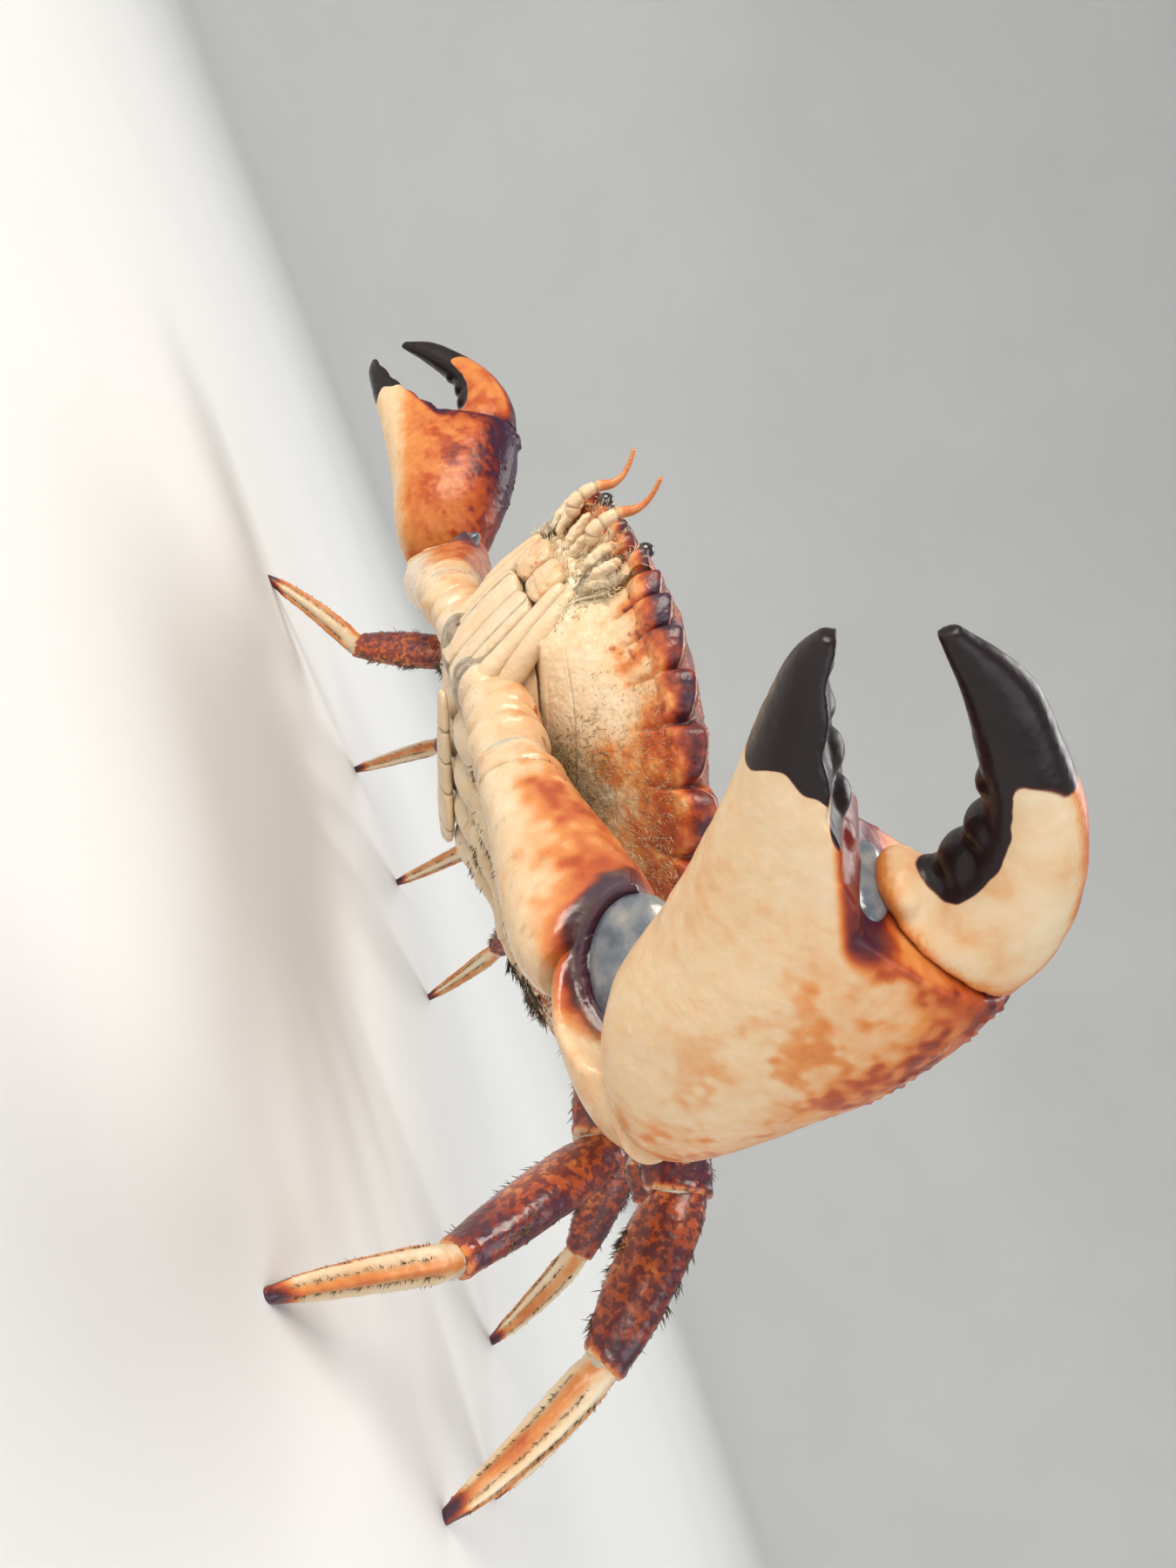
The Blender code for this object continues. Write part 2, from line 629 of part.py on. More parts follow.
def build_palm(label, wrist, reach, back, begin):
    """The palm with its fixed finger, one loft cut away above the finger's toothed edge."""
    rings = claw_rings(PALM_STATIONS, PALM_RINGS, PALM_SIDES, wrist, reach, back, 0)
    spot, normal = begin
    shifts = [(spot - p).dot(normal) / reach.dot(normal) for p in rings[0]]
    for k, ring in enumerate(rings):
        along = sum((p - wrist).dot(reach) for p in ring) / len(ring)
        keep = 1 - smooth_step(along / WRIST_FADE)
        rings[k] = [p + reach * shift * keep for p, shift in zip(ring, shifts)]
    palm = solid(f"arm_{label}_palm", rings, "claw_shell", wrist)
    drop = radians(FINGER_DROP)
    along, up = Vector((cos(drop), -sin(drop))), Vector((sin(drop), cos(drop)))
    edge = [Vector(HINGE_TOP), Vector(GAPE_CORNER)]
    count = TEETH * STEPS_A_TOOTH
    for k in range(1, count + 1):
        share = k / count
        rise = TOOTH_HEIGHT * abs(sin(pi * TEETH * share)) * (1 - TEETH_FADE * share)
        rise -= FINGER_SAG * sin(pi * share)
        edge.append(edge[1] + along * FINGER_LENGTH * share + up * rise)
    edge += [Vector(corner) for corner in CUTTER_CORNERS]
    across = reach.cross(back)
    sheets = [[wrist + reach * p.x + back * p.y + across * shift for p in edge]
              for shift in (-CUTTER_HALF_WIDTH, CUTTER_HALF_WIDTH)]
    cut_away(palm, solid("finger_cutter", sheets, "claw_shell", wrist))


def cut_away(piece, cutter):
    """Boolean cut of a piece by a cutter, applied, with the cutter then removed."""
    cut = piece.modifiers.new("cut", "BOOLEAN")
    cut.operation = "DIFFERENCE"
    cut.solver = "EXACT"
    cut.object = cutter
    bpy.context.view_layer.update()
    graph = bpy.context.evaluated_depsgraph_get()
    result = bpy.data.meshes.new_from_object(piece.evaluated_get(graph))
    piece.modifiers.remove(cut)
    piece.data = result
    bpy.data.objects.remove(cutter, do_unlink=True)


def flat_ended(name, start, end, up, stations, slot, rings, sides, power):
    """A limb piece with square ends, between two points of the body frame."""
    ends = in_body(start), in_body(end)
    axis = (ends[1] - ends[0]).normalized()
    planes = (ends[0], axis), (ends[1], axis)
    limb_piece(name, ends, planes, turned(up), stations, slot, rings, sides, power)


def build_mouth(side):
    """One outer mouth leg, a long plate that lies on the sloping field of the mouth."""
    label = "L" if side > 0 else "R"
    slope = Vector((0, MOUTH_FRONT_Y - MOUTH_REAR_Y, STERNUM_DEPTH - MOUTH_TOP)).normalized()
    out = Vector((0, -slope.z, slope.y))
    low = Vector((side * (MOUTH_PLATE_WIDTH / 2 + GAP), MOUTH_REAR_Y, -STERNUM_DEPTH))
    low += out * (GAP + MOUTH_PLATE_THICKNESS / 2) + slope * MOUTH_PLATE_START
    flat_ended(f"maxilliped_{label}", low, low + slope * MOUTH_PLATE_LENGTH, out,
               MOUTH_PLATE_FORM, "mouth_shell", MOUTH_PLATE_RINGS, PLATE_SIDES, PLATE_SQUARENESS)


def build_abdomen():
    """The narrow abdomen of a male, folded flat under the sternum."""
    depth = -STERNUM_DEPTH - GAP - ABDOMEN_THICKNESS / 2
    flat_ended("abdomen", (0, ABDOMEN_REAR_Y, depth), (0, ABDOMEN_TIP_Y, depth), -UP,
               ABDOMEN_FORM, "sternum_shell", ABDOMEN_RINGS, PLATE_SIDES, PLATE_SQUARENESS)


def build_eye(side):
    """A stalked eye that stands in its notch of the carapace's front."""
    label = "L" if side > 0 else "R"
    root, tip = [(side * x, y, z) for x, y, z in (EYE_ROOT, EYE_TIP)]
    flat_ended(f"eye_{label}", root, tip, UP, EYE_FORM, "eye", EYE_RINGS, LEG_SIDES, 2)


def build_antenna(side):
    """A feeler with its stout stalk, rooted under the front between eye and mouth."""
    label = "L" if side > 0 else "R"
    path = [in_body((side * (FEELER_ROOT[0] + x), FEELER_ROOT[1] + y, FEELER_ROOT[2] + z))
            for x, y, z in FEELER_PATH]
    outline = round_section(FEELER_SIDES, 2)
    rings = []
    for k, point in enumerate(path):
        ahead = (path[min(k + 1, len(path) - 1)] - path[max(k - 1, 0)]).normalized()
        width = FEELER_WIDTHS[k]
        rings.append(section_at(point, ahead, turned(UP), width, width, outline))
    normal = turned(FEELER_NORMAL).normalized()
    rings[0] = [p - normal * (p - path[0]).dot(normal) for p in rings[0]]
    solid(f"antenna_{label}", rings, "feeler", path[0])


def centre_all():
    """Move everything so that its box is centred over the origin, and parent it to one empty."""
    bpy.context.view_layer.update()
    pieces = [p for p in bpy.data.objects if p.type == "MESH"]
    corners = [p.matrix_world @ v.co for p in pieces for v in p.data.vertices]
    middle = [(min(c[i] for c in corners) + max(c[i] for c in corners)) / 2 for i in (0, 1)]
    crab = bpy.data.objects.new("crab", None)
    bpy.context.scene.collection.objects.link(crab)
    for piece in pieces:
        piece.parent = crab
    crab.location = (-middle[0], -middle[1], 0)


def main():
    clear()
    build_carapace()
    build_thorax()
    build_abdomen()
    for side, arm in ((1, ARM_LEFT), (-1, ARM_RIGHT)):
        build_arm(arm, side)
        for index in range(len(LEG_LENGTHS)):
            build_leg(index, side)
        build_mouth(side)
        build_eye(side)
        build_antenna(side)
    centre_all()


main()
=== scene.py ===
"""Rock crab, dressed: fine shell plates, joint skin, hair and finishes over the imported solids.

Lengths are in millimetres and angles in degrees until MM turns them into metres. The body frame
is the solids' own: +X to the crab's left, +Y to its rear, +Z out of its back, starting in the
middle of the plane of the carapace's edge.
"""

from math import atan2, cos, hypot, pi, radians, sin

import bpy
import numpy as np
from mathutils import Matrix, Vector
from mathutils.kdtree import KDTree


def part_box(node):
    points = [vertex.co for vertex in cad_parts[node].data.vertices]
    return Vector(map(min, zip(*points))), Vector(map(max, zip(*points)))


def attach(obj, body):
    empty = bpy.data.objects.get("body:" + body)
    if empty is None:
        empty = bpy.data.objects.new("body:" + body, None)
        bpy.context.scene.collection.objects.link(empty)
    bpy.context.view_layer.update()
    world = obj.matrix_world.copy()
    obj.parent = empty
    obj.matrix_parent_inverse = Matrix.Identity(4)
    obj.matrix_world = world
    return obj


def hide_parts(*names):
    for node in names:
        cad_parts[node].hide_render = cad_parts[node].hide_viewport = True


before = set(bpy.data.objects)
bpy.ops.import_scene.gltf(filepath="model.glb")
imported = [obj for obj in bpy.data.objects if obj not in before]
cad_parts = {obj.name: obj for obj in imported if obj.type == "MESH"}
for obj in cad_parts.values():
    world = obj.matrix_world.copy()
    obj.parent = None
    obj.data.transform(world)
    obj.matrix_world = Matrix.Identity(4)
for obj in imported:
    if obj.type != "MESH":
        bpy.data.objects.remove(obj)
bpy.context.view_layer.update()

MM = 0.001
GAP = 0.3
SIDES = {1: "L", -1: "R"}

# Stance and carapace, as in the solids
BODY_PITCH = 18.0
BODY_HEIGHT = 80.0
EDGE_HALF_WIDTH = 66.5
EDGE_DEPTH = 53.0
EDGE_CENTRE_Y = 10.5
DOME_HEIGHT = 13.5
DOME_CENTRE_Y = -3.0
DOME_FALL = 2.3
DOME_FULLNESS = 0.95
REAR_DROP = 6.0
DROP_START_Y = 8.0
DROP_LENGTH = 38.0
REAR_HALF_WIDTH = 23.0
REAR_Y = 46.5
REAR_SIDE_BOW = (3.0, 3.3)
LOBES = 7
LOBES_START_X = 23.4
FIRST_LOBE = 6.8
LAST_LOBE = 15.4
FIRST_LOBE_HEIGHT = 2.6
LAST_LOBE_HEIGHT = 4.8
LOBE_SHAPE = ((0.0, 0.0), (0.12, 0.62), (0.3, 1.0), (0.58, 0.86), (0.84, 0.52), (1.0, 0.0))
LOBE_LEAN = 0.25
LOBE_LIFT = 0.7
FRONT_BASE_Y = -41.7
FRONT_BASE_SLOPE = 0.04
FRONT_EDGE = ((0.0, -45.4), (1.9, -44.6), (2.9, -43.0), (4.6, -44.8), (6.2, -44.4), (7.4, -42.6),
              (9.4, -43.8), (11.6, -43.2), (13.0, -41.0), (14.6, -39.1), (16.6, -38.6),
              (18.6, -39.1), (19.8, -40.8), (20.9, -44.2), (22.4, -43.2), (23.4, -41.0))
RELIEF = (
    (0.0, -20.0, 17.0, 13.0, 1.5),
    (36.0, 2.0, 17.0, 19.0, 1.3),
    (-36.0, 2.0, 17.0, 19.0, 1.3),
    (0.0, 17.0, 10.0, 9.0, 1.1),
    (17.0, 3.0, 4.0, 14.0, -1.0),
    (-17.0, 3.0, 4.0, 14.0, -1.0),
)
SIDE_SWELLINGS = ((9, -27, 6, 0.7), (25, -18, 7, 0.6), (48, 12, 8, 0.5))
UNDERSIDE_DEPTH = 22.0
UNDERSIDE_HALF_WIDTH = 30.5
UNDERSIDE_HALF_LENGTH = 37.0
UNDERSIDE_CENTRE_Y = 3.0
UNDERSIDE_SQUARENESS = 2.5

# Points of half the carapace's outline: front, each lobe, rear side and rear
FRONT_POINTS = 90
LOBE_POINTS = 24
REAR_SIDE_POINTS = 50
REAR_POINTS = 22

# Rings of the carapace over its back, round its edge and in to the thorax
BACK_RINGS = 80
RIM_RINGS = 22
UNDERSIDE_RINGS = 92

# Edge: its rounding above, its drop below, more beside the lobes, and how far in and down its
# lower face starts where the lobes have faded out
EDGE_ROUNDING = 1.2
RIM_DROP = 3.2
LOBED_RIM_DROP = 1.0
FACE_INSET = 4.8
FACE_DROP = 5.2

# Lobes as seen from below: depth and inward reach of the notches between them, how far the lobes
# swell and reach inward, and the share of the underside where they have faded out
NOTCH_DEPTH = 1.1
NOTCH_INWARD = 3.0
LOBE_SWELL = 0.5
LOBE_INWARD = 5.0
LOBE_REACH = 0.16

# Thorax and mouth, as in the solids
STERNUM_DEPTH = 38.0
ROOT_Y = (-17.0, -4.0, 7.6, 17.6, 27.0, 35.5)
ROOT_X = (22.0, 28.0, 29.0, 27.5, 24.0, 18.5)
ROOT_SLOPE = 9.0
THORAX_REAR_TOP = (9.0, 38.5)
MOUTH_REAR_Y = -7.2
MOUTH_FRONT_Y = -36.0
MOUTH_TOP = 12.0
MOUTH_HALF_WIDTH = 12.5

# Legs, as in the solids
LEG_LENGTHS = (
    (20.0, 46.0, 25.0, 32.0, 34.0),
    (20.0, 46.0, 25.0, 32.0, 34.0),
    (19.0, 44.0, 24.0, 31.0, 33.0),
    (17.0, 38.0, 21.0, 27.0, 30.0),
)
LEG_BULK = (1.0, 1.0, 0.95, 0.85)
LEG_AZIMUTHS = {
    "L": ((-14.0, -20.0, -10.0, 25.0, 60.0), (-22.0, -32.0, -27.0, -18.0, -12.0),
          (-34.0, -45.0, -43.0, -40.0, -38.0), (-52.0, -63.0, -64.0, -66.0, -68.0)),
    "R": ((-18.0, -28.0, -14.0, 22.0, 62.0), (-26.0, -38.0, -33.0, -26.0, -20.0),
          (-38.0, -50.0, -49.0, -46.0, -44.0), (-54.0, -66.0, -67.0, -68.0, -69.0)),
}
COXA_RISE = -6.0
LEG_RISE = (6.0, 15.0, 14.0, 13.0)
LEG_BENDS = ((38.0, -24.0), (38.0, 22.0), (34.0, 22.0), (32.0, 22.0))
LEG_FORMS = (
    ("coxa", ((0, 13.5, 9.6, 0), (0.3, 12.5, 9.2, 0), (0.6, 9.5, 7.4, 0), (1, 10.0, 6.6, 0))),
    ("merus", ((0, 9.5, 6.4, 0), (0.25, 14.0, 7.4, 0.6), (0.6, 15.5, 8.0, 0.8),
               (0.88, 14.2, 8.0, 0.4), (1, 11.0, 6.8, 0))),
    ("carpus", ((0, 9.0, 6.6, 0), (0.35, 12.0, 8.0, 0.4), (0.75, 13.4, 8.2, 0.6),
                (1, 11.4, 7.2, 0))),
    ("propodus", ((0, 11.0, 7.0, 0), (0.3, 12.6, 7.6, 0.3), (0.7, 11.4, 7.0, 0.2),
                  (1, 8.0, 5.8, 0))),
    ("dactyl", ((0, 7.4, 5.6, 0), (0.3, 6.8, 5.2, 0.8), (0.7, 4.8, 3.8, 0.8), (1, 2.4, 2.4, 0))),
)

# Claw arms, as in the solids
ARMS = {
    "L": {
        "joints": ((46.0, -10.5, -32.0), (99.5, -5.0, -27.5), (122.3, 1.5, -23.3)),
        "reach": (0.307, -0.882, 0.357),
        "back": (0.258, 0.438, 0.861),
    },
    "R": {
        "joints": ((-45.0, -9.5, -32.0), (-95.0, 4.5, -26.0), (-122.2, 12.2, -22.7)),
        "reach": (-0.747, -0.655, 0.114),
        "back": (0.178, -0.032, 0.983),
    },
}
ARM_FORMS = (
    ("coxa", ((0, 14.5, 12.4, 0), (0.3, 15.0, 13.0, 0), (0.55, 14.0, 13.0, 0),
              (0.75, 16.5, 15.0, 0), (1, 16.0, 14.4, 0))),
    ("merus", ((0, 15.6, 14.4, 0), (0.3, 18.0, 17.0, 0), (0.7, 24.0, 18.5, 0),
               (0.9, 25.0, 19.0, 0), (1, 21.0, 18.0, 0))),
    ("carpus", ((0, 16.0, 14.6, 0), (0.35, 24.0, 21.0, 0.5), (0.7, 25.0, 23.0, 0.8),
                (1, 17.0, 16.0, 0))),
)
PALM_STATIONS = (
    (0.00, 0.0, -8.0, 0.0, 8.0, 15.0),
    (0.12, 4.0, -12.8, 4.0, 11.5, 21.0),
    (0.25, 10.5, -16.0, 12.0, 15.5, 25.5),
    (0.42, 22.5, -17.2, 26.0, 20.8, 28.5),
    (0.58, 34.8, -18.2, 42.0, 23.4, 27.0),
    (0.68, 45.0, -19.8, 53.5, 20.5, 23.0),
    (0.78, 56.0, -22.2, 64.0, 4.0, 17.5),
    (0.88, 66.5, -25.0, 71.5, -9.0, 12.0),
    (0.95, 73.5, -26.2, 76.0, -18.0, 7.5),
    (1.00, 78.2, -25.2, 78.8, -22.6, 3.0),
)
DACTYL_STATIONS = (
    (0.0, 51.9, 1.5, 49.2, 23.2, 17.0),
    (0.2, 56.0, 4.5, 57.5, 22.6, 16.0),
    (0.4, 62.5, 5.0, 66.0, 19.1, 14.0),
    (0.6, 69.0, 2.5, 74.0, 12.8, 11.0),
    (0.8, 75.5, -4.0, 81.0, 3.2, 8.0),
    (0.92, 80.5, -10.0, 85.0, -4.5, 5.5),
    (1.0, 84.0, -15.5, 86.0, -14.0, 2.4),
)
GAPE_CORNER = (52.0, -2.5)
HINGE_TOP = (47.5, 34.0)
FINGER_DROP = 38.0
FINGER_LENGTH = 37.0
FINGER_SAG = 2.6
WRIST_FADE = 22.0

# Blunt teeth as (share along the finger, size), knobs of the hinge as for molars, and the skin
# of the gape as its middle and half sizes
PALM_TEETH = ((0.15, 2.2), (0.32, 2.8), (0.50, 2.9), (0.67, 2.2), (0.82, 1.5))
DACTYL_TEETH = ((0.18, 2.9), (0.35, 3.2), (0.52, 2.7), (0.68, 2.0), (0.81, 1.3))
HINGE_KNOBS = ((46.6, 20.0, 3.2, 3.2, 4.6), (45.6, 22.6, 3.2, 2.2, 4.0))
CONDYLE = (54.0, 2.6, 3.0, 3.6, 5.4)
GAPE_SKIN = ((51.6, -0.6, 0.0), (1.6, 3.2, 6.8))

# Skin of the elbow: its shift from the joint, its directions and half sizes, how far it is
# sunk, and how much wider it is than the opening in the shell
ELBOW_SKIN_SHIFT = (7.3, -4.9, 3.6)
ELBOW_SKIN_AXES = ((0.455, -0.293, 0.841), (-0.708, -0.692, 0.142), (0.541, -0.659, -0.522))
ELBOW_SKIN_SIZE = (7.6, 10.2, 2.6)
ELBOW_SKIN_SINK = 0.9
ELBOW_SKIN_OVERLAP = 1.06

# Shell round the elbow's skin: height of its rim and depth of its dish, and the furthest that
# it is pulled in and, on the merus, out
ELBOW_RIM = 0.8
ELBOW_DISH = 4.5
ELBOW_PULL_IN = 12.0
ELBOW_PULL_OUT = 8.0

# Joint skin: its share of the pieces' ends, and its length
LEG_SLEEVE_FIT = 0.93
LEG_SLEEVE_LENGTH = 6.0
ARM_SLEEVE_FIT = 0.9
ELBOW_SLEEVE_FIT = 0.55
ARM_SLEEVE_LENGTH = 9.0

# How far the ends of a piece bulge, at its root and beyond
LEG_DOMES = (1.2, 0.3)
ARM_DOMES = (1.5, 0.5)

# Fullness of a section, with 2 for an ellipse, and the fineness of skins and fused skins
SHELL_POWER = 2.3
THORAX_VOXEL = 0.5
PALM_VOXEL = 0.5
DACTYL_VOXEL = 0.45
CLAW_SIDES = 56
PALM_RINGS = 70
DACTYL_RINGS = 60

# Plates and strips of the mouth: path of x, z and reach out of its field, widths, depths,
# tone and roughness
MOUTH_PLATES = (
    (((6.1, -36.5, 1.7), (6.1, -33.0, 2.2), (6.1, -26.0, 2.2), (5.9, -19.8, 1.9)),
     (9.4, 11.4, 11.6, 11.2), (3.0, 3.8, 4.0, 3.4), 0.10, 0.0),
    (((6.1, -19.6, 1.8), (6.3, -16.5, 2.0), (6.2, -13.0, 1.4)),
     (10.8, 11.0, 8.6), (3.2, 3.6, 3.0), 0.20, 1.0),
    (((14.4, -35.5, 1.8), (15.4, -31.0, 1.2), (14.8, -24.0, 0.9), (12.6, -14.5, 0.6)),
     (3.6, 5.2, 5.2, 3.6), (4.4, 5.4, 5.0, 4.0), 0.10, 0.0),
    (((19.2, -32.5, -2.6), (20.2, -28.0, -1.0), (19.6, -22.0, 0.0), (16.8, -13.8, -0.2)),
     (3.2, 4.8, 4.8, 3.4), (3.8, 5.0, 5.0, 3.8), 0.14, 0.0),
)

# Ridges of the face: path as for the mouth's plates, and widths
FACE_RIDGES = (
    (((2.4, -12.0, -0.2), (3.4, -8.8, 0.4), (4.8, -5.6, 0.2)), (1.6, 2.4, 1.6)),
    (((12.4, -11.6, -0.4), (13.4, -8.6, 0.1), (14.6, -5.4, -0.2)), (1.8, 2.8, 1.8)),
    (((17.0, -12.0, -0.9), (18.8, -9.2, -0.4), (20.8, -6.2, -0.7)), (1.6, 2.6, 1.6)),
)

# Eyes, as in the solids, with how far the eye and its stalk stand out and their half sizes
EYE_ROOT = (16.6, -39.1, 0.2)
EYE_TIP = (17.0, -44.2, 1.3)
EYE_OUT = 3.1
EYE_SIZE = (1.8, 1.9, 1.7)
EYESTALK_OUT = 1.2
EYESTALK_SIZE = (1.5, 1.6, 2.4)

# Abdomen, from its rear: places along it, widths and depths, and the shares where it is jointed
ABDOMEN_Y = (34.5, 26.0, 16.5, 6.0, -5.0)
ABDOMEN_WIDTHS = (13.0, 16.4, 11.0, 8.4, 4.0)
ABDOMEN_DEPTHS = (2.6, 2.9, 2.8, 2.6, 1.8)
ABDOMEN_JOINTS = (0.10, 0.20, 0.44, 0.62, 0.80)

# Feelers, as in the solids, with the joints of the stalk and the rings of the whip
FEELER_ROOT = (9.0, -41.06, -8.16)
FEELER_PATH = ((0, 0, 0), (0.2, -2.6, -0.6), (0.4, -5.0, 1.6), (0.3, -6.6, 4.8),
               (0.2, -7.2, 8.2), (0.5, -8.8, 10.6), (1.0, -11.4, 12.2), (1.7, -14.4, 13.2))
FEELER_WIDTHS = (3.4, 3.4, 3.0, 2.6, 2.0, 1.3, 1.1, 0.9)
FEELER_JOINTS = (0.13, 0.27, 0.42)
FEELER_RINGS = 36

# Hair: how far its roots are sunk, the size of each hair's patch of the hair map, and the count,
# greatest length and width of the hairs on each leg piece
HAIR_SINK = 0.35
HAIR_PATCH = 0.003
LEG_HAIR = {
    "coxa": (40, 2.0, 0.25),
    "merus": (220, 3.8, 0.36),
    "carpus": (40, 2.0, 0.26),
    "propodus": (90, 2.4, 0.28),
    "dactyl": (360, 1.2, 0.16),
}

# Fuzz of the carapace: count, range of lengths and of widths, lean along, round and out, and tone
FUZZ = {
    "lobes": (3600, (1.0, 2.3), (0.10, 0.20), (-0.8, 0.25, 0.45), 0.95),
    "rear": (7600, (1.2, 2.6), (0.12, 0.24), (-0.8, 0.3, 0.42), 0.45),
    "face": (1800, (0.9, 2.2), (0.12, 0.26), (-0.6, 0.0, 0.7), 0.95),
    "brow": (240, (1.0, 2.2), (0.14, 0.26), (-0.7, 0.0, 0.5), 0.95),
}

# Colours of shell from palest to darkest, as the tint goes from 0 to 1
SHELL_RAMP = (
    (0.00, (0.76, 0.64, 0.46)),
    (0.20, (0.72, 0.50, 0.29)),
    (0.38, (0.66, 0.25, 0.065)),
    (0.55, (0.47, 0.085, 0.018)),
    (0.72, (0.22, 0.028, 0.012)),
    (0.88, (0.085, 0.010, 0.016)),
    (1.00, (0.040, 0.010, 0.028)),
)
# Dark brown of painted shade in grooves and under the mouth plates, and of the real dark dots, specks
# and joints
GRIME_AND_SHADE = (0.075, 0.040, 0.016)
INK = (0.012, 0.006, 0.007)
INK_BORDER = (0.16, 0.028, 0.020)
OLIVE = (0.42, 0.28, 0.085)

# Stage, in metres: round floor and wall, then lights as name, place, size, power and colour
FLOOR_RADIUS = 1.5
WALL_CURVE = 0.6
WALL_TOP = 3.0
SKY = (0.86, 0.92, 1.0, 1)
SKY_STRENGTH = 0.38
LIGHTS = (
    ("key", (0.20, -1.15, 0.42), 0.6, 13.0, (1.0, 0.93, 0.82)),
    ("fill", (1.15, -0.15, 0.45), 0.9, 5.0, (0.92, 0.96, 1.0)),
    ("top", (-0.3, 0.3, 1.3), 0.8, 9.0, (1.0, 0.98, 0.95)),
)
LIGHTS_AIM = (0.0, 0.0, 0.06)

# The photograph's camera: its place, its right and its up in the body frame, and its lens
CAMERA_PLACE = (247.0, -128.0, -69.0)
CAMERA_RIGHT = (0.23, -0.036, 0.972)
CAMERA_UP = (-0.503, -0.86, 0.087)
CAMERA_SENSOR = 36.0
CAMERA_LENS = 28.0

UP = np.array((0.0, 0.0, 1.0))
TURN = np.array(Matrix.Rotation(radians(-BODY_PITCH), 3, "X"))


def body_place():
    """Where the body frame starts in the row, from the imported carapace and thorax."""
    low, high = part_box("carapace")
    rear = TURN @ np.array((0.0, THORAX_REAR_TOP[1], -UNDERSIDE_DEPTH - GAP))
    return np.array(((low.x + high.x) / 2 / MM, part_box("thorax")[1].y / MM - rear[1], BODY_HEIGHT))


PLACE = body_place()


def in_row(points):
    """Row positions, in millimetres, of points of the body frame."""
    return np.asarray(points, float) @ TURN.T + PLACE


def unit(vector):
    vector = np.asarray(vector, float)
    return vector / np.linalg.norm(vector, axis=-1, keepdims=True)


def blend(a, b, t):
    return a + (b - a) * t


def step(value, low, high):
    """Smooth rise from 0 at low to 1 at high."""
    t = np.clip((value - low) / (high - low), 0.0, 1.0)
    return t * t * (3 - 2 * t)


def hump(value, centre, width):
    return np.exp(-(((value - centre) / width) ** 2))


def curve(stations, t):
    """Values at t on a smooth curve through stations of (t, value, value, ...)."""
    stations = np.asarray(stations, float)
    last = len(stations) - 1
    k = int(np.clip(np.searchsorted(stations[:, 0], t, side="right") - 1, 0, last - 1))
    before, here = stations[max(k - 1, 0)], stations[k]
    there, after = stations[k + 1], stations[min(k + 2, last)]
    span = there[0] - here[0]
    f = (t - here[0]) / span
    start = (there[1:] - before[1:]) / (there[0] - before[0]) * span
    end = (after[1:] - here[1:]) / (after[0] - here[0]) * span
    return ((2 * f**3 - 3 * f**2 + 1) * here[1:] + (f**3 - 2 * f**2 + f) * start
            + (3 * f**2 - 2 * f**3) * there[1:] + (f**3 - f**2) * end)


def turns(count):
    """Angles evenly round a circle."""
    return np.arange(count) * (2 * pi / count)


def sampled(stations, count):
    return np.array([curve(stations, t) for t in np.linspace(0, 1, count)])


def scramble(grid, seed):
    """A repeatable number from 0 to 1 for each whole-number grid point."""
    mixed = grid[..., 0] * 374761393 + grid[..., 1] * 668265263 + grid[..., 2] * 1442695041
    mixed = mixed + seed * 1013904223
    mixed = ((mixed ^ (mixed >> 13)) * 1274126177) & 0xFFFFFFFF
    return ((mixed ^ (mixed >> 16)) & 0xFFFFFF) / 0xFFFFFF


def noise(points, cell, seed=0):
    """Smooth noise from -1 to 1 with features about a cell wide."""
    spot = points / cell
    base = np.floor(spot).astype(np.int64)
    f = spot - base
    f = f * f * (3 - 2 * f)
    total = 0
    for corner in np.ndindex(2, 2, 2):
        weight = np.prod(np.where(corner, f, 1 - f), axis=-1)
        total = total + weight * scramble(base + np.array(corner), seed)
    return total * 2 - 1


def grains(points, cell, seed=0, size=0.32):
    """Rounded grains, one in each jittered cell: 1 on a grain's top and 0 between grains."""
    spot = points / cell
    base = np.floor(spot).astype(np.int64)
    nearest = np.full(spot.shape[:-1], 9.0)
    for corner in np.ndindex(3, 3, 3):
        near = base + np.array(corner) - 1
        jitter = np.stack([scramble(near, seed + axis) for axis in (1, 2, 3)], axis=-1)
        centre = near + 0.2 + 0.6 * jitter
        nearest = np.minimum(nearest, ((spot - centre) ** 2).sum(-1))
    return np.clip(1 - nearest / size**2, 0, 1)


def grid_faces(rings, sides):
    """Quads of a tube of rings, and triangles of its two end fans."""
    r, k = np.meshgrid(np.arange(rings - 1), np.arange(sides), indexing="ij")
    j = (k + 1) % sides
    quads = np.stack((r * sides + k, r * sides + j, (r + 1) * sides + j, (r + 1) * sides + k), -1)
    k = np.arange(sides)
    j = (k + 1) % sides
    first, last = rings * sides, rings * sides + 1
    top = (rings - 1) * sides
    fans = np.concatenate((np.stack((j, k, np.full(sides, first)), -1),
                           np.stack((top + k, top + j, np.full(sides, last)), -1)))
    return [quads.reshape(-1, 4), fans]


def closed(grid):
    """Points and faces of a closed tube, with a middle point at each end."""
    points = np.concatenate((grid.reshape(-1, 3), [grid[0].mean(0)], [grid[-1].mean(0)]))
    faces = grid_faces(*grid.shape[:2])
    corners = points[faces[0]]
    volume = np.einsum("ij,ij->", corners[:, 0], np.cross(corners[:, 1], corners[:, 2]))
    if volume < 0:
        faces = [group[:, ::-1] for group in faces]
    return points, faces


def rounded(value, power=SHELL_POWER):
    """A cosine or sine squared off, so that a section is a little fuller than an ellipse."""
    return np.abs(value) ** (2 / power) * np.sign(value)


def spread(values, grid_shape):
    """Per-point values of a closed tube from values for each ring, side or grid place."""
    full = np.broadcast_to(values, grid_shape)
    return np.concatenate((full.ravel(), [full[0].mean(), full[-1].mean()]))


